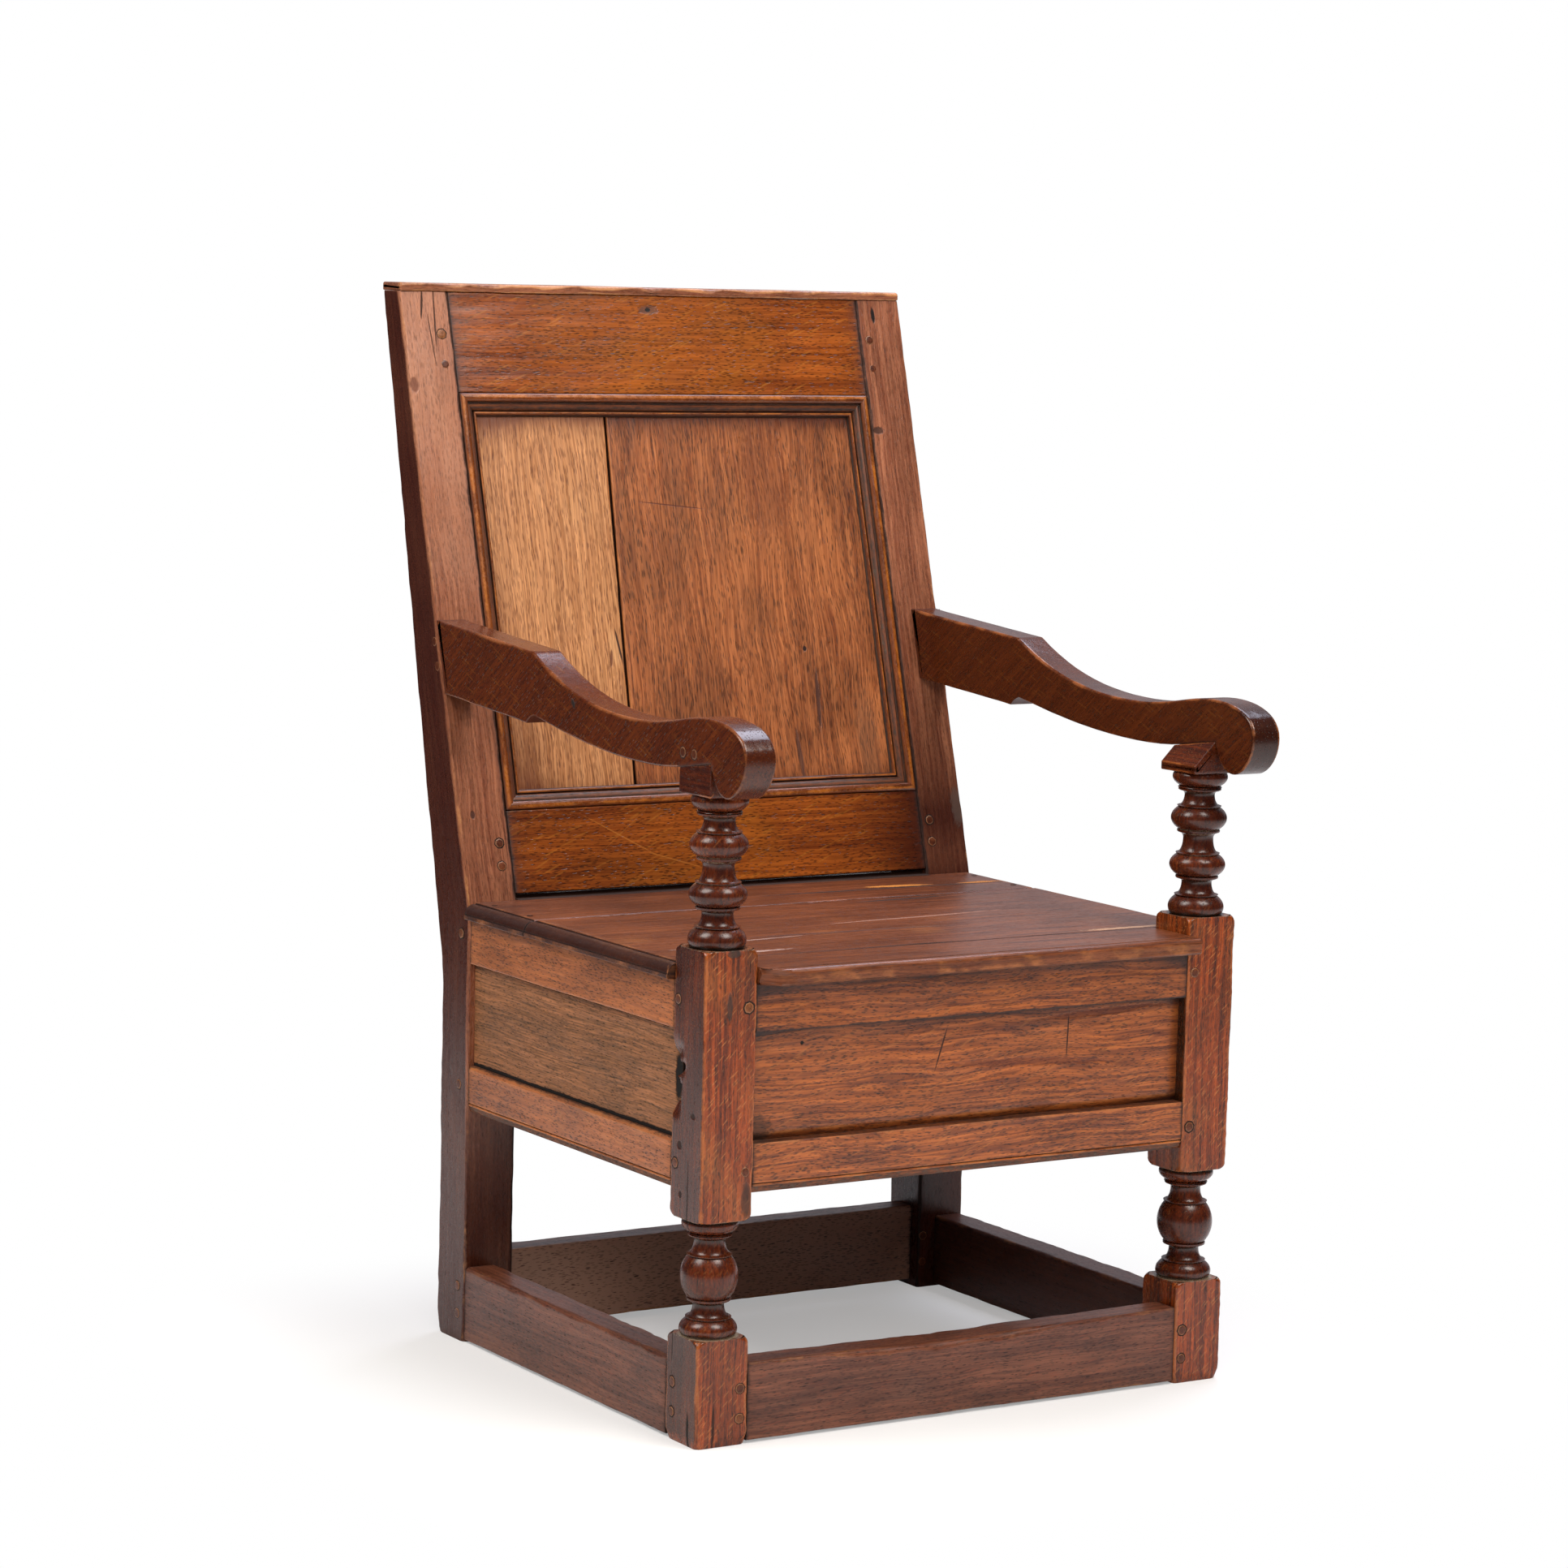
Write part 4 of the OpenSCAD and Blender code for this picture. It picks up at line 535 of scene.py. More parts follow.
# Sawn oak inside the box and under the lid, never waxed; its grain runs along X or along Y
bareLook = {"dark": "#57402b", "light": "#806242", "coat": 0.0, "rough": 0.7, "patinaShare": 0.25}
bareOakAlongX = oak("sawnBareOakAcross", (0, 0, 0), **bareLook)
bareOakAlongY = oak("sawnBareOakDeep", (0, 0, math.pi / 2), **bareLook)


# Wrought iron, hammered and rusted dark: a dull grey-brown, mottled, with the scale's fine pitting
def wroughtIron():
    material = bpy.data.materials.new("wroughtIron")
    tree = emptyTree(material)
    place = addNode(tree, "TexCoord", {})["Object"]
    rust = addNode(tree, "TexNoise", {"Vector": place, "Scale": 260.0, "Detail": 5.0})[0]
    colour = mixed(tree, stepped(tree, rust, 0.4, 0.62, kind="LINEAR"), linear("#37322f"), linear("#5a3524"))
    shader = addNode(tree, "BsdfPrincipled", {
        "Base Color": colour, "Roughness": stepped(tree, rust, 0.3, 0.7, 0.45, 0.75, "LINEAR"),
        "Metallic": 0.8, "Normal": addNode(tree, "Bump", {"Height": rust, "Distance": 0.0004})[0]})[0]
    addNode(tree, "OutputMaterial", {"Surface": shader})
    return material


iron = wroughtIron()
print("finishes ready")

stileLook = {"arris": 1.9, "footArris": 5.0, "wobble": 0.35}


def footWear(z):  # the feet's outer arrises are rubbed away on the floor
    rubbed = stileLook["footArris"] * np.exp(-z / 12)[:, None]
    return stileLook["arris"] + rubbed * np.array([0.3, 0.7, 1, 0.3])


for sideName, side in sides:
    def stileCorners(z):
        topRear = frontLine(stileTop) + chair["stileTopDepth"]
        rear = np.interp(z, [0, chair["heelZ"], stileTop], [rearY, rearY, topRear])
        front, inner, outer = frontLine(z), side * stileX, side * halfWidth
        return sections(z, (inner, front), (outer, front), (outer, rear), (inner, rear))

    # Painted shade darkens the outer side face and the leg low down; the right stile is also darker just
    # above the seat
    def stileTone(grain):  # dark outside, and paler where hands and shoulders have rubbed the upper front
        z, outer = grain[..., 0], np.abs(grain[..., 1]) > halfWidth - 0.3
        behind = grain[..., 2] > frontLine(z) + 4
        rubbed = 0.45 * (side < 0) * np.clip((z - 620) / 300, 0, 1)
        low = (0.8 if side < 0 else 1.1) / (1 + np.exp((z - 235 - 200 * (side > 0)) / 12))
        return np.where(outer & behind, -0.95, rubbed - 0.9 * nearness(z, 500, 80) * (side > 0) - low)
    shell = stick(stileCorners, (0, stileTop), uprightAxes, radius=footWear, seed=10 + side, grime=0.3,
                  wobble=stileLook["wobble"], between=4, tone=stileTone, edges=[-0.9, 0.6, 0.5, 0.2])
    shell["grain"][..., 2] -= frontLine(shell["grain"][..., 0])  # the grain leans with the back
    makePiece("oakStile" + sideName, [shell], stileOak, "rear_stile_" + sideName.lower())
print("stiles made")

backLook = {"topRail": 104, "bottomRail": 83, "seatGap": 5.5, "set": 0.5, "railBack": 26, "arris": 0.9}
bottomLow = alongSlope(seatTop + backLook["seatGap"])
openingLow = bottomLow + backLook["bottomRail"]
openingTop = alongSlope(stileTop) - backLook["topRail"]
railFront, railBack = backLook["set"], backLook["railBack"]


def railTone(grain):  # golden in the middle, darker towards the joints
    x = grain[..., 0]
    lower = (grain[..., 1] < openingLow + 1) * 0.5 * np.clip((x - 40) / 150, 0, 1)
    return 0.35 * bell(x, 0, 150) - 0.7 * nearness(np.abs(x), stileX, 22) - lower


topFront, topBack = ((stileTop - railTop + depth * math.sin(lean)) / math.cos(lean)  # level with the cap
                     for depth in (railFront, railBack))
for name, seed, corners in (
        ("Bottom", 21, rectangle((bottomLow, railFront), (openingLow, railBack))),
        ("Top", 22, [[openingTop, railFront], [topFront, railFront], [topBack, railBack],
                     [openingTop, railBack]])):
    rail = stick(corners, betweenStiles, backRailAxes, radius=backLook["arris"], seed=seed, endRadius=0.5,
                 tone=railTone, edges=0.3)
    makePiece(f"oakBack{name}Rail", [rail], backRailOak, f"back_{name.lower()}_rail")

boardLook = {"jointTop": -71, "jointBottom": -87, "gap": 3.2, "front": 12, "thick": 9, "groove": 8,
             "lap": 6, "lip": 3.5}
boardSpan = (openingLow - boardLook["groove"], openingTop + boardLook["groove"] - 1)
boardEdge = stileX + boardLook["groove"] - 1


def jointLine(s):  # the joint between the boards leans a little
    return np.interp(s, boardSpan, [boardLook["jointBottom"], boardLook["jointTop"]])


# Boards go dark where wax and dust gather beside the moulding, most of all under the top one
def boardTone(grain):
    s, x = grain[..., 0], np.abs(grain[..., 1])
    borders = 1.1 * nearness(s, openingTop - 21, 18) + 1.1 * nearness(x, stileX - 21, 16)
    borders = borders + 0.45 * nearness(s, openingLow + 20, 12)
    return 0.15 - borders - 0.35 * np.clip((openingLow + 150 - s) / 220, 0, 1)


for (sideName, side), material, slotName in zip(sides, (paleOak, redOak), ("pale_oak", "red_oak_tone")):
    def boardCorners(s):  # the left board's lap lies behind the right one's
        near, edge = jointLine(s) + side * boardLook["gap"] / 2, side * boardEdge
        front, back = boardLook["front"], boardLook["front"] + boardLook["thick"]
        step = back - boardLook["lip"] - (0.15 if side < 0 else 0)
        lap = jointLine(s) - boardLook["lap"] - (1 if side < 0 else 0)
        return sections(s, (near, front), (edge, front), (edge, back), (lap, back), (lap, step), (near, step))
    shell = stick(boardCorners, boardSpan, backBoardAxes, radius=[1.4] + [0.6] * 5, seed=30 + side,
                  supports=(0.6, 1.4), between=3, endRadius=0.4, wobble=0.3, tone=boardTone,
                  chips=((0, 320, 9, 1.2), (0, 250, 5, 0.8)))
    s, x, depth = np.moveaxis(shell["grain"], -1, 0)
    # Dirt and painted shade in the joint: the lip and edges inside the gap between the boards are darkened
    inJoint = (np.abs(x - jointLine(s)) < 9) & (depth > 13.5) & (depth < 20.5)
    shell["state"][..., 1] = np.where(inJoint, 1, shell["state"][..., 1])
    makePiece("oakBackBoard" + sideName, [shell], material, "back_board_" + sideName.lower())


# Section from the frame into the opening: a quirk, a round bead, a fillet, a hollow, a small bead and a lip
def mouldingSection():
    a = sweep(180, 0, 13)
    bead = together(4.7 + 4.2 * np.cos(a), 0.5 - 2.3 * np.sin(a))
    small = together(19.2 + 1.8 * np.cos(a), 8.2 - 1.9 * np.sin(a))
    a = sweep(0, 90, 9)
    hollow = together(11.2 + 5.6 * np.sin(a), 9 - 5.2 * np.cos(a))
    return np.concatenate([[[0.2, 12]], bead, [[9, 2.8], [10.6, 2.8], [10.6, 3.8]], hollow, [[17.2, 9]],
                           small, [[21.3, 10], [22, 10.6], [22, 12]]])


# Lines of grime and wear along the moulding: place across it, half width and share; and its hollow's dust
mouldingLook = {"grime": ((0, 1.0, 1), (9.9, 1.1, 1), (14.5, 2.6, 0.75), (17.3, 0.7, 1), (21.8, 1.0, 1)),
                "worn": ((3.6, 2.4, 0.9), (19.0, 1.0, 0.9)),
                "dust": {"Left": 0.0, "Right": 0.25, "Top": 0.1, "Bottom": 0.25}}
midSlope, halfOpening = backOrigin + upSlope * ((openingLow + openingTop) / 2), (openingTop - openingLow) / 2


def lines(name, u):
    return sum(share * bell(u, place, width) for place, width, share in mouldingLook[name])


for name, origin, along, across, half in (
        ("Left", midSlope - xAxis * stileX, upSlope, xAxis, halfOpening),
        ("Right", midSlope + xAxis * stileX, upSlope, -xAxis, halfOpening),
        ("Top", backOrigin + upSlope * openingTop, xAxis, -upSlope, stileX),
        ("Bottom", backOrigin + upSlope * openingLow, xAxis, upSlope, stileX)):
    shell = mouldedLength(mouldingSection(), (-half, half), (origin, along, across, intoBack),
                          40 + len(name), mitre=1)
    state, grain = shell["state"], shell["grain"]
    u = grain[..., 1]
    state[..., 0] = np.clip(lines("worn", u) * (0.8 + 0.3 * waves(45, grain, 40)), 0, 1)
    state[..., 1] = np.clip(np.maximum(state[..., 1], lines("grime", u)), 0, 1)
    state[..., 2] = mouldingLook["dust"][name] * bell(u, 14, 5) * (0.7 + 0.4 * waves(46, grain, 60))
    makePiece("oakMoulding" + name, [shell], mouldingOak, "back_moulding_" + name.lower())

capLook = {"thick": 8.5, "over": 2}
capFront = frontLine(stileTop) - capLook["over"]
capBack = frontLine(stileTop) + chair["stileTopDepth"] + capLook["over"]
cap = stick(rectangle((stileTop, capFront), (stileTop + capLook["thick"], capBack)), (-halfWidth, halfWidth),
            frontAxes, radius=[1.2, 3.2, 1.5, 0.8], seed=50, supports=(0.4, 1.2), endRadius=2.0, step=8,
            grime=0.2, chips=((1, -190, 7, 1.5), (1, 60, 12, 1.2)))
makePiece("oakCapBoard", [cap], stileOak, "cap_board")
print("back made")

# A turning is a list of swellings (height, largest radius) and reels (ridge, long hollow, short one, rings)
postLook = {
    "neck": 29, "fillet": 40.5, "endRadius": 24.5, "arris": 2.2, "footTop": 100, "blockLow": 209,
    "blockTop": 458, "turningTop": 597, "armSeat": 628, "armSeatSlope": 0.15, "armX": 266,
    "cornerCut": 6, "cornerRise": 10,
    "lower": ((16.3, 27), (1.2, 11.2, 3.3, 3.1), (39.5, 27), (1.2, 12.8, 3.5, 3.8), (13.1, 26.6)),
    "upper": ((18.4, 27), (1.1, 11.5, 3.6, 3.1), (21.2, 27), (1.1, 13.9, 5.7, 3.1), (22.1, 27),
              (1.1, 10.5, 4.0, 4.5), (14.1, 26.6)),
}


# A swelling: an ellipse cut off at the two end radii
def bulb(z, h, low, middle, top):
    start, end = math.acos(low / middle), math.acos(top / middle)
    half = h / (math.sin(start) + math.sin(end))
    a = np.linspace(-start, end, 19)
    return together(middle * np.cos(a), z + half * (math.sin(start) + np.sin(a)))


# A ridge, a long and a short hollow, which are quarter ellipses that meet at the neck, and one or two rings
def reel(z, ridge, hollow, flare, fillet):
    out, inner = postLook["fillet"] / 2, postLook["neck"] / 2
    a = sweep(90, 0, 11)
    curve = together(out - (out - inner) * np.cos(a), z + ridge + hollow * (1 - np.sin(a)))
    middle = z + ridge + hollow
    a = sweep(0, 90, 7)[1:]
    above = together(inner + (out - 1 - inner) * (1 - np.cos(a)), middle + flare * np.sin(a))
    top = middle + flare
    rings = [[out + 0.1, top + 0.5], [out + 0.4, top + 1.0]]
    if fillet > 3.5:
        split = top + fillet * 0.55
        rings += [[out + 0.4, split - 0.5], [out - 0.9, split - 0.1], [out - 0.9, split + 0.1],
                  [out + 0.9, split + 0.5]]
    rings += [[out + 0.4, top + fillet - 0.6], [out - 0.5, top + fillet]]
    low = [[out - 0.8, z + 0.1], [out + 0.9, z + 0.3], [out + 1.1, z + ridge - 0.2], [out + 0.5, z + ridge]]
    return np.concatenate([low, curve, above, rings])


def turning(low, high, parts):  # the whole list is stretched to fill the span
    heights = np.array([p[0] if len(p) == 2 else sum(p) for p in parts])
    k = (high - low) / heights.sum()
    starts = low + k * (np.cumsum(heights) - heights)
    ends = [postLook["endRadius"]] + [postLook["fillet"] / 2 - 0.9] * (len(parts) - 1)
    return np.concatenate([
        bulb(z, k * p[0], below, p[1], above) if len(p) == 2 else reel(z, *(k * np.array(p)))
        for p, z, below, above in zip(parts, starts, ends, ends[::-1])])


# Rows of a square block: the lathe rounds its corners towards a turned end, as a quarter of an ellipse
def blockRows(low, high, lowTurned):
    reach, rise = postSide / math.sqrt(2), postLook["cornerRise"]
    a = sweep(0, 90, 7)
    curve = together(reach - postLook["cornerCut"] * (1 - np.sin(a)), rise * (1 - np.cos(a)))
    plain = together(reach + 5, np.array([0.0, 1.0, rise]))
    bottom = (curve if lowTurned else plain) + [0, low]
    top = curve[::-1] * [1, -1] + [0, high]
    heights = np.arange(bottom[-1, 1] + 4, top[0, 1] - 2, 5.0)
    return np.concatenate([bottom, together(reach + 5, heights), top])


def shoulder(z, step=1):  # the flat ring between a block's end and the turning
    return together(np.array([34.0, 29.0, 25.5])[::step], z)


def meanRadius(z, radius, width):  # the profile smoothed by a bell of this width
    steps = np.arange(0, z[-1], 0.5)
    near = bell(z[:, None], steps[None], width)
    return (near * np.interp(steps, z, radius)[None]).sum(1) / near.sum(1)


def postShells(side):
    p = postLook
    profile = np.concatenate([
        [[20.0, 0.0], [36.0, 0.0]], blockRows(0, p["footTop"], False)[1:], shoulder(p["footTop"]),
        turning(p["footTop"], p["blockLow"], p["lower"]), shoulder(p["blockLow"], -1),
        blockRows(p["blockLow"], p["blockTop"], True), shoulder(p["blockTop"]),
        turning(p["blockTop"], p["turningTop"], p["upper"]), [[24.5, p["turningTop"] + 1.0]]])
    radius, z = profile.T
    up = z[:, None]
    half = postSide / 2
    footIn = 2.2 * np.exp(-z / 2.5)
    square = np.array([[-1, -1], [1, -1], [1, 1], [-1, 1]]) * half
    corners = square * (1 - footIn / half)[:, None, None]
    keys = together(up, cornerKey * np.arange(4))
    wander = 1 + 0.4 * waves(60 + side, keys, 55) + 0.3 * waves(61 + side, keys, 14)
    arris = p["arris"] * wander + 3 * np.exp(-up / 6)
    rings, weights = roundedRings(corners, np.maximum(arris, 0.8), 4, (1, 3), 14)
    reach = np.linalg.norm(rings, axis=-1)
    rings = rings * (np.minimum(radius[:, None], reach) / reach)[..., None]
    turned = radius < half
    # Ridges are where the profile stands out from its own mean, and hollows where it lies below it
    sunk = (meanRadius(z, radius, 4) - radius) * turned
    ridge, hollow = np.clip(-sunk / 3, 0, 1), np.clip(sunk / 1.5, 0, 1)
    crevice = np.clip((meanRadius(z, radius, 1.3) - radius) * turned / 0.8, 0, 1)
    atShoulder = np.where((radius >= half) & (radius < 35.5), 1.0, 0.0)
    x, y = rings[..., 0], rings[..., 1]
    grain = together(up, x + side * 500, y)
    points = together(x + side * (halfWidth - half), y + half, up)
    points[..., :2] += together(waves(62 + side, points, 260), waves(63 + side, points, 260)) * 0.3
    onSquare = weights[None] * (0.7 + 0.4 * waves(64 + side, grain, 45))
    wear = np.where(turned[:, None], 0.5 * ridge[:, None], onSquare)
    dirt = (np.maximum(0.75 * hollow, 0.9 * crevice) + 0.5 * atShoulder)[:, None]
    dust = (crevice * np.clip(0.2 + waves(65, up, 14), 0, 1) + 0.5 * atShoulder)[:, None]
    # Painted shade: darker outer side faces, and the inner face beside the sunk panel dark with dirt and
    # shade
    shadedOuterFace = (x * side > half - 0.5) & ~turned[:, None]
    shadedInnerFace = (x * side < -half + 0.5) & (up > boxLow) & (up < railTop)
    tone = np.where(shadedOuterFace, -0.8, 0.15) - 0.1 * (up < p["footTop"])
    tone = np.where(turned[:, None], -0.75 - 0.15 * hollow[:, None], tone)
    tone = tone + 0.15 * waves(67 + side, grain, 70)
    main = shellOf(points, grain, wear, dirt, dust, tone)
    state = main["state"]
    state[..., 1] = np.where(shadedInnerFace, 0.85, dirt)
    if side < 0:  # bark was left in the rear arris of the outer face, and has fallen out
        gone = np.exp(-((up - 336) / 25) ** 4) * (x < -18)
        gone = gone * np.clip((y - 12 - 7 * waves(69, up * [1.0], 22)[:, None]) / 6, 0, 1)
        points[..., 0] += 12 * gone
        state[..., 1] = np.maximum(state[..., 1], gone)
        state[..., 0] *= 1 - gone

    def armBlockCorners(y):
        slope = p["armSeatSlope"] * y
        low, top, out = p["turningTop"], p["armSeat"] - slope, side * halfWidth
        return sections(y, (low, side * postX), (low, out), (top, out), (top, side * (p["armX"] - slope)),
                        (p["armSeat"] - 23, side * postX))
    return [main, stick(armBlockCorners, (0, postSide), sideAxes, radius=1.4, seed=66 + side, endRadius=1.6,
                        step=6, grime=0, tone=-0.8)]


for sideName, side in sides:
    makePiece("oakPost" + sideName, postShells(side), turnedOak, "front_post_" + sideName.lower())
print("posts made")

armLook = {"thick": 32, "underside": 628, "reach": 60, "tiltDegrees": 4, "bendBack": 117, "topArris": 2.6,
           "lowArris": 1.8, "grainDegrees": -38}


def bezier(a, b, c, d, steps=12):  # a cubic curve between a and d, without its first point
    t = np.linspace(0, 1, steps + 1)[1:, None]
    a, b, c, d = (np.array(p, float) for p in (a, b, c, d))
    return a * (1 - t) ** 3 + 3 * b * t * (1 - t) ** 2 + 3 * c * t ** 2 * (1 - t) + d * t ** 3


# The arm's side: straight from the stile to a bend, down to a dip, up to the crest and round the scroll,
# then back along the post's top and the hollow underside to a notched cusp
def armOutline():
    k = math.tan(math.radians(armLook["tiltDegrees"]))
    base = armLook["underside"]

    def meetStile(y, z):
        return (backY + (z - k * y - railTop) * math.tan(lean)) / (1 - k * math.tan(lean))
    bend = np.array([backY - armLook["bendBack"], base + 72])
    dip, crest = np.array([140, base + 27.5]), np.array([8, base + 40.7])
    nose, chin = np.array([-armLook["reach"], base + 8]), np.array([-28, base - 28.5])
    heel, rest = np.array([0, base]), np.array([55, base - 8.25])
    notch, cusp = np.array([bend[0] - 5, base + 11.5]), np.array([bend[0] + 10, base + 2.5])
    topY, lowY = meetStile(*bend), meetStile(*cusp)
    return np.concatenate([
        [[topY, bend[1] + k * (topY - bend[0])]], [bend], bezier(bend, bend + [-60, -32], dip + [68, 0], dip),
        bezier(dip, dip + [-66, 0], crest + [42, -0.5], crest),
        bezier(crest, crest + [-34, 0], nose + [0, 24], nose),
        bezier(nose, nose + [0, -20], chin + [-15, 0], chin),
        bezier(chin, chin + [15, 0], heel + [-3, -13], heel),
        [rest], bezier(rest, rest + [62, -8.5], notch + [-110, -22], notch),
        bezier(notch, notch + [5, -1], cusp + [-4, 5], cusp, 5), [[lowY, cusp[1] + k * (lowY - cusp[0])]]])


# The outline is drawn in by radius * (1 - sin) as x moves in by radius * (1 - cos): a quarter round
def armShell(side):
    outline = densify(armOutline(), 4)
    following = np.roll(outline, -1, axis=0)
    tangent = unit(following - np.roll(outline, 1, axis=0))
    area = (outline[:, 0] * following[:, 1] - following[:, 0] * outline[:, 1]).sum()
    inward = together(-tangent[:, 1], tangent[:, 0]) * np.sign(area)
    upper = np.clip(-inward[:, 1] * 1.6, 0, 1)
    y, z = outline.T
    notchY, notchZ = backY - armLook["bendBack"] - 2, armLook["underside"] + 9
    calm = 1 - 0.85 * np.exp(-((y - notchY) ** 2 + (z - notchZ) ** 2) / 18 ** 2)
    atStile = nearness(y, frontLine(z), 6)
    onPost = ((y > -2) & (y < 57) & (z < 640)) * 1.0
    radius = armLook["lowArris"] + (armLook["topArris"] - armLook["lowArris"]) * upper
    radius *= (1 + 0.15 * waves(70 + side, outline, 60)) * calm * (1 - 0.75 * atStile) * (1 - 0.6 * onPost)
    radius = np.maximum(radius, 0.5)
    a = np.radians([0, 0, 0, 25, 50, 75, 90, 90, 90, 90])
    extra = np.array([6.0, 2.0, 0, 0, 0, 0, 0, 0, 0, 0])
    deeper = np.array([0, 0, 0, 0, 0, 0, 0, 1.5, 5, 16.0])
    inset = radius[None] * (1 - np.sin(a))[:, None] + extra[:, None] * calm[None]
    depth = np.minimum(radius[None] * (1 - np.cos(a))[:, None] + deeper[:, None], armLook["thick"] / 2)
    inset = np.concatenate([inset, inset[-2::-1]])
    depth = np.concatenate([depth, armLook["thick"] - depth[-2::-1]])
    rings = outline[None] + inward[None] * inset[..., None]
    across, y1, z1 = side * (halfWidth - depth), rings[..., 0], rings[..., 1]
    wear = np.array([0, 0.1, 0.6, 1, 1, 1, 0.8, 0.2, 0, 0, 0, 0.2, 0.8, 1, 1, 1, 0.6, 0.1, 0])[:, None]
    # The arm is cut from a bent plank, so its grain runs down towards the post
    turn = math.radians(armLook["grainDegrees"])
    c, s = math.cos(turn), math.sin(turn)
    grain = together(y1 * c + z1 * s, z1 * c - y1 * s, across)
    wear = wear * (0.6 + 0.4 * waves(71 + side, grain, 50)) * (1 - atStile) * (1 - onPost)
    # Each flat side is one face, which would spread what its rim carries, so that stays on the arrises
    rim = np.array([0, 0.3] + [1] * 15 + [0.3, 0])[:, None]
    dirt = rim * np.clip(0.6 * atStile + 0.7 * onPost * (np.abs(z - 624) < 6) + (1 - calm) * 0.5, 0, 1)[None]
    points = together(across, y1, z1)
    points[..., 0] += 0.4 * waves(72 + side, points, 150)
    # The right arm is darker all over, painted shade
    tone = rim * (0.15 * waves(73 + side, grain, 90) - 0.5 / (1 + np.exp((y1 + 30) / 6))) - 0.4 * (side > 0)
    return shellOf(points, grain, wear, dirt, 0.0, tone)


for sideName, side in sides:
    makePiece("oakArm" + sideName, [armShell(side)], darkOak, "arm_" + sideName.lower())
print("arms made")

boxLook = {"set": 1, "rail": 26, "frontSink": 12, "sideSink": 6, "panel": 9, "groove": 8, "arris": 1.0}
railIn = boxLook["set"] + boxLook["rail"]
inGroove = boxLook["groove"] - 1
panelLow, panelTop = lowerTop - boxLook["groove"], upperLow + inGroove
plainRail = {"radius": boxLook["arris"], "endRadius": 0.5}
plainPanel = {"radius": 0.5, "supports": (0.5, 1.5), "wobble": 0.6}


# Lower rail: a quirk, a bead and a hollow that falls back to the rail's underside. Face is the front of the
# rail, and inwards its sign: positive where depth grows into the wood. Grime and dust lie in the moulding
def lowerRail(face, inwards, back, span, axes, seed, chamfer=0):
    def cut(height, depth):
        return together(boxLow + height, face + inwards * depth)
    a = sweep(100, -90, 9)
    bead = cut(7.1 + 1.3 * np.sin(a), 1.5 - 1.3 * np.cos(a))
    a = sweep(0, 90, 8)
    hollow = cut(5.4 - 5.0 * np.sin(a), 1.8 + 3 * (1 - np.cos(a)))
    tall = lowerTop - boxLow
    top = [cut(tall, chamfer or 0.6), cut(tall - (chamfer or 0.6), 0)]
    section = np.concatenate([top, [cut(9.5, 0), cut(8.9, 1.6), cut(7.7, 1.6)], bead, hollow,
                              [cut(0, 5), [boxLow, back], [lowerTop, back]]])
    shell = mouldedLength(section, span, axes, seed)
    u, state = shell["grain"][..., 1], shell["state"]
    inRun = u < boxLow + 6.5
    # Painted shade: a dark line along the rail's top, where the panel sinks behind it; the hollow under the
    # bead holds dirt and dust
    state[..., 1] = np.where((u > lowerTop - 0.5) | inRun, 0.75, state[..., 1])
    state[..., 2] = np.where(inRun, 0.3, 0)
    return shell


def besidePosts(grain):
    return 0.8 * nearness(np.abs(grain[..., 0]), postX, 14)


# Painted light lifts the rail against the seat's shadow; painted shadow lies in a band under the nosing
def upperTone(grain):
    z = grain[..., 1]
    return 0.25 - besidePosts(grain) - 1.2 * nearness(z, railTop - 4, 4) - 1.2 * nearness(z, upperLow, 2)


# Darker towards the posts, and in bands of painted shade where the panel sinks under the rails' edges
def panelTone(grain):
    z = grain[..., 1]
    return 0.2 - besidePosts(grain) - 0.8 * nearness(z, lowerTop, 6) - 1.5 * nearness(z, upperLow, 4)


upperRail = stick(rectangle((upperLow, boxLook["set"]), (railTop, railIn)), betweenPosts, frontAxes, seed=81,
                  tone=upperTone, edges=[-0.8, 0.3, 0.3, 0.3], **plainRail)
makePiece("oakFrontUpperRail", [upperRail], goldenOak, "front_upper_rail")
front = lowerRail(boxLook["set"], 1, railIn, betweenPosts, frontAxes, 82)
makePiece("oakFrontLowerRail", [front], goldenOak, "front_lower_rail")
panelFront = boxLook["set"] + boxLook["frontSink"]
panelBack = panelFront + boxLook["panel"]
bevel = [[panelLow, panelFront + 3], [panelLow + 8, panelFront + 3], [panelLow + 14, panelFront],
         [panelTop, panelFront], [panelTop, panelBack], [panelLow, panelBack]]
panelSide = postX + inGroove
panel = mouldedLength(bevel, (-panelSide, panelSide), frontAxes, 83, wobble=0.5, tone=panelTone)
makePiece("oakFrontPanel", [panel], goldenOak, "front_panel")
for sideName, side in sides:
    face = side * (halfWidth - boxLook["set"])
    back = face - side * boxLook["rail"]
    outer = face - side * boxLook["sideSink"]
    inner = outer - side * boxLook["panel"]
    span = (postSide, backY)
    upper = stick(rectangle((upperLow, face), (railTop, back)), span, sideAxes, seed=85 + side, **plainRail)
    lower = lowerRail(face, -side, back, span, sideAxes, 88 + side, 3)
    panel = stick(rectangle((panelLow, outer), (panelTop, inner)), (postSide - inGroove, backY + inGroove),
                  sideAxes, seed=91 + side, **plainPanel)
    for name, shell, material, slotName in (
            ("UpperRail", upper, sideRailOak, "side_rail_oak"),
            ("LowerRail", lower, sideRailOak, "side_rail_oak"),
            ("Panel", panel, drabOak, "drab_oak")):
        node = "side_" + name.replace("Rail", "_rail").lower() + "_" + sideName.lower()
        makePiece("oakSide" + name + sideName, [shell], material, node)
rearFace = rearY - boxLook["set"]
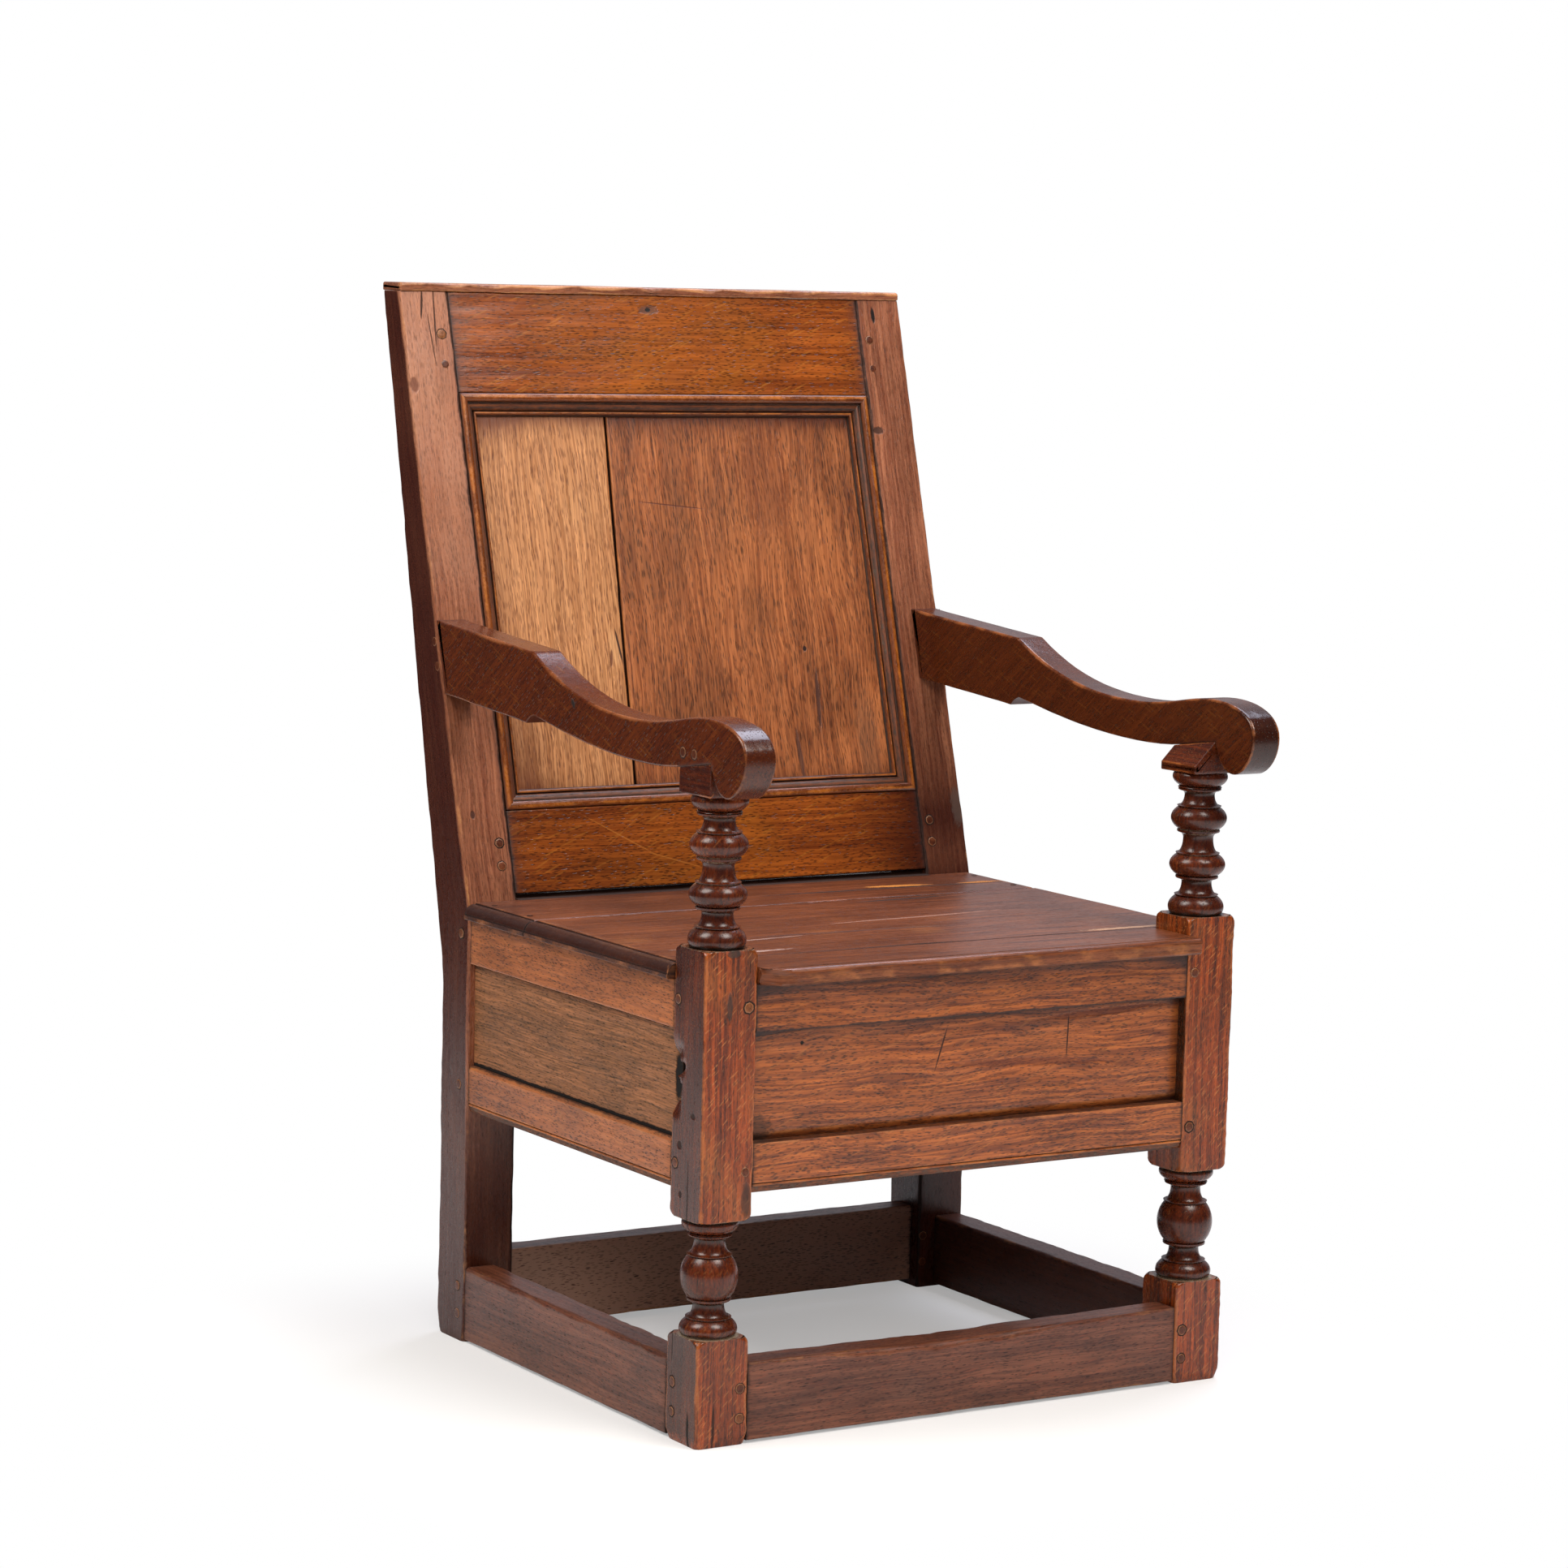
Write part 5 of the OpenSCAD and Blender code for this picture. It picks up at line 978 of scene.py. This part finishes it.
for name, low, high, seed in (("Upper", upperLow, railTop, 94), ("Lower", boxLow, lowerTop, 95)):
    rail = stick(rectangle((low, rearFace - boxLook["rail"]), (high, rearFace)), betweenStiles, frontAxes,
                 seed=seed, **plainRail)
    makePiece(f"oakRear{name}Rail", [rail], stretcherOak, f"rear_{name.lower()}_rail")
rearPanel = rearFace - boxLook["sideSink"]
panel = stick(rectangle((panelLow, rearPanel - boxLook["panel"]), (panelTop, rearPanel)),
              (-stileX - inGroove, stileX + inGroove), frontAxes, seed=96, **plainPanel)
makePiece("oakRearPanel", [panel], drabOak, "rear_panel")
print("box made")

stretcherLook = {"low": 3, "rearLow": 6, "width": 73, "rearWidth": 80, "thick": 29, "sideThick": 33,
                 "dish": 5.0, "topArris": 3.5}
stretcherLow, stretcherTop = stretcherLook["low"], stretcherLook["low"] + stretcherLook["width"]
rearStretcherY = backY + 14


def frontStretcherCorners(x):  # feet have worn the top's front arris down in a long dish
    worn, back = stretcherLook["dish"] * bell(x, -20, 120), 1 + stretcherLook["thick"]
    return sections(x, (stretcherLow, 1), (stretcherTop - worn, 1), (stretcherTop - 0.2 * worn, back),
                    (stretcherLow, back))


def stretcherWear(x):
    return 1.6 + bell(x[:, None], -20, 140) * np.array([0.5, 5.0, 2.0, 0.5])


def rearStretcherPaintedLight(grain):  # painted light: paler on its front, most of all to the left
    return np.where(grain[..., 2] < rearStretcherY + 2, 1.1 - grain[..., 0] / 700, -0.2)


front = stick(frontStretcherCorners, betweenPosts, frontAxes, radius=stretcherWear, seed=101, endRadius=0.6,
              steps=5, between=4, edges=[0.6, 0.55, 0.4, 0.5])
low, back = stretcherLook["rearLow"], rearStretcherY + stretcherLook["thick"]
rear = stick(rectangle((low, rearStretcherY), (low + stretcherLook["rearWidth"], back)), betweenStiles,
             frontAxes, radius=[2.0, 2.2, 2.2, 1.2], seed=102, endRadius=0.6, edges=[0.9, 0.5, 0.5, 0.5],
             tone=rearStretcherPaintedLight)
stretchers = {"Front": front, "Rear": rear}
for sideName, side in sides:
    face = side * (halfWidth - 1)
    back = face - side * stretcherLook["sideThick"]
    # The right stretcher is darkened, painted shade on the face seen under the box
    stretchers[sideName] = stick(rectangle((stretcherLow, face), (stretcherTop, back)), (postSide, backY),
                                 sideAxes, seed=103 + side, endRadius=0.6, edges=0.5,
                                 radius=[1.4, stretcherLook["topArris"], stretcherLook["topArris"], 1.4],
                                 tone=-0.8 * (side > 0))
for name, shell in stretchers.items():
    makePiece("oakStretcher" + name, [shell], stretcherOak, "stretcher_" + name.lower())
print("stretchers made")

seatLook = {"sideOver": 7, "frontOver": 22, "hingeY": 330, "gap": 1, "lift": 0.3, "jointArris": 4.0,
            "edgeRadius": 10}
seatX = halfWidth + seatLook["sideOver"]


# Half of a seat board's section: a sunk fillet, a quarter round and a small lip below
def seatEdge(low):
    r, drop = seatLook["edgeRadius"], 1.6
    inner = seatX - 1.2 - r
    a = sweep(90, 0, 10)
    curve = together(inner + r * np.cos(a), seatTop - drop - r + r * np.sin(a))
    return np.concatenate([
        [[inner - 2.6, seatTop], [inner - 1.8, seatTop - 0.5], [inner - 1.4, seatTop - drop - 0.5],
         [inner - 0.7, seatTop - drop - 0.5]], curve,
        [[seatX, seatTop - drop - r - 0.4], [seatX, low + 0.8], [seatX - 0.8, low]]])


# A seat board: the section carried from front to back, its top held down to a quarter round at a joint
def seatBoard(y0, y1, low, frontArris, rearArris, seed):
    right = seatEdge(low)
    section = densify(np.concatenate([right, right[::-1] * [-1, 1]]), 9)
    near = np.array([0, 0.15, 0.5, 1.1, 2.0, 3.2, 4.4, 6.0])
    along = np.concatenate([y0 + near, np.arange(y0 + 12, y1 - 10, 9.0), y1 - near[::-1]])
    x, y = np.broadcast_arrays(section[:, 0], along[:, None])
    keys = together(x, y)
    top = seatTop + 0.35 * waves(seed, keys, 190) - 0.35
    for edge, radius, sign in ((y0, frontArris, 1), (y1, rearArris, -1)):
        reach = radius * (1 + 0.25 * waves(seed + 1, keys, 40))
        away = np.clip((y - edge) * sign / reach, 0, 1)
        top = top - reach * (1 - np.sqrt(np.clip(1 - (1 - away) ** 2, 0, 1)))
    z = np.minimum(section[:, 1], top)
    turn = bulges(section)
    edgeNear = np.minimum(y - y0, y1 - y)
    onTop = (section[:, 1] > seatTop - 1)[None]
    wear = np.clip(turn / 0.5, 0, 1)[None] * 0.8 + onTop * bell(edgeNear, 3.5, 1.5) * 0.4
    wear = wear * (0.6 + 0.5 * waves(seed + 2, keys, 45))
    beside = (np.abs(x) > postX) & (y < y0 + 5) & (y0 < 100)  # the broken corner beside the post
    dirt = np.clip(-turn / 0.5, 0, 1)[None] * 0.9 + np.exp(-edgeNear / 1.2) * ~beside
    wear = np.where(beside, 0.35 + 0.5 * waves(seed + 4, keys, 6), wear)
    edge = np.abs(x) - (seatX - seatLook["edgeRadius"])
    dirt = np.maximum(dirt, bell(edge, -2.2, 0.9) * (z > seatTop - 4))
    tone = 0.2 * waves(seed + 3, keys, 120) - (edge > -2.6) * 0.9 - 0.3 * np.clip((y - 250) / 130, 0, 1)
    points = together(x, y, z)
    return shellOf(points, points, wear, dirt, 0.0, tone)


hingeGap = seatLook["gap"] / 2
lidLow, front, joint = railTop + seatLook["lift"], -seatLook["frontOver"], postSide + 2
strip = seatBoard(seatLook["hingeY"] + hingeGap, backY - 0.15, railTop, seatLook["jointArris"], 0.4, 111)
# The strip's tongue runs back under the panelled back
tongue = stick([[backY - 4, railTop], [backY + 27, railTop], [backY + 27, 440.8], [backY + 14, 444.8],
                [backY + 12.5, seatTop - 0.1], [backY - 4, seatTop - 0.1]], (-stileX + 0.15, stileX - 0.15),
               (noOrigin, xAxis, yAxis, zAxis), radius=0.3, seed=112, endRadius=0.3, supports=(0.3,),
               between=0)
# Painted shade: the tongue is dark all over, where it lies in the gap under the back's bottom rail
tongue["state"][..., 1] = 1
makePiece("oakSeatStrip", [strip, tongue], seatOak, "seat_back_strip")
lidBoard = seatBoard(joint, seatLook["hingeY"] - hingeGap, lidLow, 1.0, seatLook["jointArris"], 114)
makePiece("oakLidBoard", [lidBoard], seatOak, "lid_main_board", "lid")
a = sweep(90, 180, 9)
frontSection = np.concatenate([
    [[lidLow, joint], [seatTop - 0.8, joint], [seatTop - 0.2, joint - 0.8], [seatTop - 0.3, front + 11.5],
     [seatTop - 1.4, front + 11], [seatTop - 1.4, front + 9.6], [seatTop - 0.5, front + 9]],
    together(seatTop - 5.4 + 5 * np.sin(a), front + 5 + 5 * np.cos(a)),
    [[lidLow + 2, front], [lidLow, front + 2]]])
frontBoard = mouldedLength(frontSection, (-postX + 0.6, postX - 0.6), frontAxes, 117, wobble=0.2, grime=0)
grain, state = frontBoard["grain"], frontBoard["state"]
x, z, y = np.moveaxis(grain, -1, 0)
ragged = 0.55 + 0.4 * waves(118, grain, 14) + 0.3 * waves(119, grain, 60)
nose = ragged * nearness(y, front, 3) * np.where(z < seatTop - 8, 0.9, 0.4)
state[..., 0] = np.clip(np.maximum(state[..., 0] * 0.5, nose), 0, 1)
state[..., 0] = np.maximum(state[..., 0], 0.7 * ragged * nearness(x, -postX, 9))
broken = -2 - 1.1 * (x + postX) - 3 * waves(120, grain, 12)  # the left corner has split away
frontBoard["points"][..., 1] += np.maximum(broken - y, 0) * (y < 0)
frontBoard["tone"] = frontBoard["tone"] + 0.5 * (ragged - 0.2) * nearness(y, front, 4) * (z < seatTop - 3)
frontBoard["grain"] = together(x, y, z)
makePiece("oakLidFrontBoard", [frontBoard], seatOak, "lid_front_board", "lid")
print("seat made")

pegLook = {"diameter": 9.4, "proud": 0.8, "depth": 5, "bury": 0.2, "frontX": 251.5}


# Riven pegs: six to eight knife cuts round each, and a worn dome; the radius falls as the dome turns in
def pegShells(places, inwards, seed):
    side = unit(np.cross(inwards, [0.3, 0.5, 0.81]))
    other = np.cross(inwards, side)
    rng = np.random.default_rng(seed)
    a = np.linspace(0, 2 * math.pi, 24, endpoint=False)
    around = np.cos(a)[:, None] * side + np.sin(a)[:, None] * other
    shells = []
    for place in places:
        flat = math.pi / rng.integers(6, 9)
        radius = pegLook["diameter"] / 2 * rng.uniform(0.94, 1.08)
        polygon = radius * math.cos(flat) ** 0.6 / np.cos((a + rng.uniform(0, 6)) % (2 * flat) - flat)
        dome = np.array([-1.0, -0.97, -0.85, -0.55, -0.1]) * pegLook["proud"] * rng.uniform(0.6, 1.3)
        depth = np.array([*dome, -0.3, -0.1, pegLook["depth"]])
        ring = np.array([0.35, 0.66, 0.84, 0.95, 1, 1.02, 1.3, 1])[:, None] * polygon[None]
        points = np.array(place, float) + ring[..., None] * around + depth[:, None, None] * inwards
        wear, dirt = (np.broadcast_to(np.array(v)[:, None], ring.shape)
                      for v in ([0, 0.1, 0.6, 1, 0.2, 0, 0, 0], [0, 0, 0, 0.1, 1, 1, 1, 1]))
        grain = (points - np.array(place)) @ np.stack([inwards, side, other], -1) + rng.uniform(0, 900, 3)
        shells.append(shellOf(points, grain, wear, dirt, 0.0, rng.uniform(-0.6, 0.4)))
    return shells


boxZ, footZ, bury = (boxLow + 21, railTop - 21), (25, 53), pegLook["bury"]
topSlope = alongSlope(stileTop)
backPlaces = (bottomLow + 28, bottomLow + 51, topSlope - 75, topSlope - 44)
pegNodes = {"Box": "box_front_pegs", "Side": "box_side_pegs", "Stretcher": "stretcher_pegs",
            "Arm": "arm_pegs", "Rear": "rear_rail_pegs", "Back": "back_pegs"}
pegs = {name: [] for name in pegNodes}
for side in (-1, 1):
    fromSide, fromBehind = -side * xAxis, -yAxis
    frontX, outerX = side * pegLook["frontX"], side * (halfWidth - bury)
    for name, seed, inwards, places in (
            ("Box", 130, yAxis, [(frontX, bury, z) for z in boxZ]),
            ("Side", 132, fromSide, [(outerX, y, z + 4) for y in (47, 470) for z in boxZ]),
            ("Stretcher", 134, yAxis, [(frontX, bury, z) for z in footZ]),
            ("Stretcher", 136, fromSide, [(outerX, y, z + 2) for y in (43.5, 466) for z in footZ]),
            ("Stretcher", 138, yAxis, [(side * 249.5, backY + bury, z + 2.5) for z in footZ]),
            ("Arm", 140, fromSide, [(outerX, y, 634) for y in (29, 49)]),
            ("Arm", 142, fromSide, [(outerX, frontLine(z) + 9, z) for z in (668.5, 692.5)]),
            ("Rear", 144, fromBehind, [(side * 253, rearY - bury, z) for z in boxZ]),
            ("Back", 146, intoBack, [backOrigin + xAxis * side * 256 + upSlope * s + intoBack * bury
                                     for s in backPlaces])):
        pegs[name] += pegShells(places, inwards, seed + side)
for name, node in pegNodes.items():
    makePiece("oakPegs" + name, pegs[name], pegOak, node)
print("pegs made")

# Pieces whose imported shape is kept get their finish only
for material, names in (
        (bareOakAlongY, ("lid_batten_left", "lid_batten_right", "box_bottom_boards")),
        (bareOakAlongX, ("bottom_bearer_front", "bottom_bearer_rear")),
        (iron, ("hinge_leaves_seat", "hinge_leaves_lid", "hinge_pins", "cap_nails", "moulding_nails",
                "strip_nails", "lid_nails", "hinge_nails_seat", "hinge_nails_lid", "box_nails"))):
    for name in names:
        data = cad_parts[name].data
        data.materials.clear()
        data.materials.append(material)

view = {"place": (-2.3095, -3.6446, 1.0705), "azimuth": -32.0, "pitch": -6.7, "roll": 1.43, "focal": 101.094,
        "sensor": 36}


def aim(thing, place, right, back):  # puts a camera or a lamp in its place, looking away from back
    columns = np.stack([right, np.cross(back, right), back], -1)
    thing.matrix_world = Matrix.Translation(place) @ Matrix(columns.tolist()).to_4x4()
    bpy.context.scene.collection.objects.link(thing)


def makeCamera():  # looks along the azimuth from +Y, tipped by the pitch, then rolled about its sight line
    azimuth, pitch, roll = (math.radians(view[key]) for key in ("azimuth", "pitch", "roll"))
    level = np.array([-math.sin(azimuth), math.cos(azimuth), 0])
    forward = level * math.cos(pitch) + zAxis * math.sin(pitch)
    right = np.array([math.cos(azimuth), math.sin(azimuth), 0])
    data = bpy.data.cameras.new("view")
    data.lens, data.sensor_fit = view["focal"], "HORIZONTAL"
    data.sensor_width = data.sensor_height = view["sensor"]
    data.clip_start, data.clip_end = 0.1, 100
    camera = bpy.data.objects.new("view", data)
    aim(camera, view["place"], math.cos(roll) * right + math.sin(roll) * np.cross(right, forward), -forward)
    bpy.context.scene.camera = camera


makeCamera()

# The card is a disc that runs further to the front and right than to the back and left. Under is the share
# of pure white that the camera sees there instead of the card; over the reach, in metres outside the chair,
# it grows to 1. Turns and horizon say where the backdrop begins, as cosines and heights of a direction
stageLook = {"floor": "#f2f1f0", "radius": 4.6, "middle": (1.3, -2.1), "under": 0.34, "reach": (0.05, 0.34),
             "room": "#3a3a3f", "backdrop": "#e6e4ec", "backdropLight": 0.6, "turns": (0.5, 0.85),
             "horizon": (0.0, 0.12)}


def makeFloor():  # matt white card, a disc under the chair; beyond the chair the camera sees it as pure white
    mesh = bpy.data.meshes.new("floor")
    a = np.linspace(0, 2 * math.pi, 64, endpoint=False)
    rim = np.array([*stageLook["middle"], 0]) + together(np.cos(a), np.sin(a), 0 * a) * stageLook["radius"]
    mesh.from_pydata(rim.tolist(), [], [list(range(64))])
    floor = bpy.data.objects.new("floor", mesh)
    bpy.context.scene.collection.objects.link(floor)
    material = bpy.data.materials.new("whiteCard")
    tree = emptyTree(material)
    halfDeep = rearY / 2000
    outside = addNode(tree, "TexCoord", {})["Object"]
    for operation, values in (("SUBTRACT", [(0, frontY / 1000 + halfDeep, 0)]), ("ABSOLUTE", []),
                              ("SUBTRACT", [(halfWidth / 1000, halfDeep, 0)]), ("MAXIMUM", [(0, 0, 0)])):
        outside = calc(tree, operation, outside, *values, kind="VectorMath")
    away = calc(tree, "LENGTH", outside, kind="VectorMath", out="Value")
    share = stepped(tree, away, *stageLook["reach"], stageLook["under"])
    share = calc(tree, "MULTIPLY", share, addNode(tree, "LightPath", {})["Is Camera Ray"])
    card = addNode(tree, "BsdfDiffuse", {"Color": linear(stageLook["floor"])})[0]
    white = addNode(tree, "Emission", {"Color": (1, 1, 1, 1), "Strength": 1.0})[0]
    surface = addNode(tree, "MixShader", {"Fac": share, 1: card, 2: white})[0]
    addNode(tree, "OutputMaterial", {"Surface": surface})
    mesh.materials.append(material)


makeFloor()


# A dim room in front of the chair and a pale backdrop behind it; the camera sees white all round
def makeWorld():
    world = bpy.data.worlds.new("studio")
    bpy.context.scene.world = world
    tree = emptyTree(world)
    direction = addNode(tree, "TexCoord", {})["Generated"]
    azimuth = math.radians(view["azimuth"])
    level = (-math.sin(azimuth), math.cos(azimuth), 0)
    behind = calc(tree, "DOT_PRODUCT", direction, level, kind="VectorMath", out="Value")
    height = addNode(tree, "SeparateXYZ", {0: direction})["Z"]
    share = calc(tree, "MULTIPLY", stepped(tree, behind, *stageLook["turns"]),
                 stepped(tree, height, *stageLook["horizon"]))
    room, backdrop, white = (
        addNode(tree, "Background", {"Color": colour, "Strength": strength})[0] for colour, strength in (
            (linear(stageLook["room"]), 1.0), (linear(stageLook["backdrop"]), stageLook["backdropLight"]),
            ((1, 1, 1, 1), 1.0)))
    lit = addNode(tree, "MixShader", {"Fac": share, 1: room, 2: backdrop})[0]
    seen = addNode(tree, "LightPath", {})["Is Camera Ray"]
    addNode(tree, "OutputWorld", {"Surface": addNode(tree, "MixShader", {"Fac": seen, 1: lit, 2: white})[0]})


makeWorld()

# Soft boxes, hung high to the left and the right of the view: each one's place, the point that it faces, its
# size, its power in watts and its colour
softBoxes = {
    "softBoxLeft": ((-2.2, 0.1, 3.0), (0, 0, 0.6), (1.4, 1.7), 88, "#fffaf4"),
    "softBoxRight": ((0.5, -1.85, 3.2), (0, 0, 0.6), (1.4, 1.6), 95, "#fffaf4"),
    "softBoxTop": ((1.15, 0.55, 2.9), (0, 0, 0.6), (1.3, 1.3), 42, "#e4eaff"),
    "softBoxFront": ((-1.6, -3.3, 2.4), (0, 0, 0.5), (2.4, 1.6), 55, "#fffaf4"),
}
for name, (place, faces, size, watts, code) in softBoxes.items():
    data = bpy.data.lights.new(name, "AREA")
    data.shape, data.size, data.size_y = "RECTANGLE", *size
    data.energy, data.color = watts, linear(code)[:3]
    lamp = bpy.data.objects.new(name, data)
    lamp.visible_glossy = name != "softBoxFront"  # a fill that adds no glint of its own
    back = unit(np.array(place) - np.array(faces))
    aim(lamp, place, unit(np.cross([0, 0, 1], back)), back)

bpy.context.scene.view_settings.view_transform = "Standard"
print("stage set")
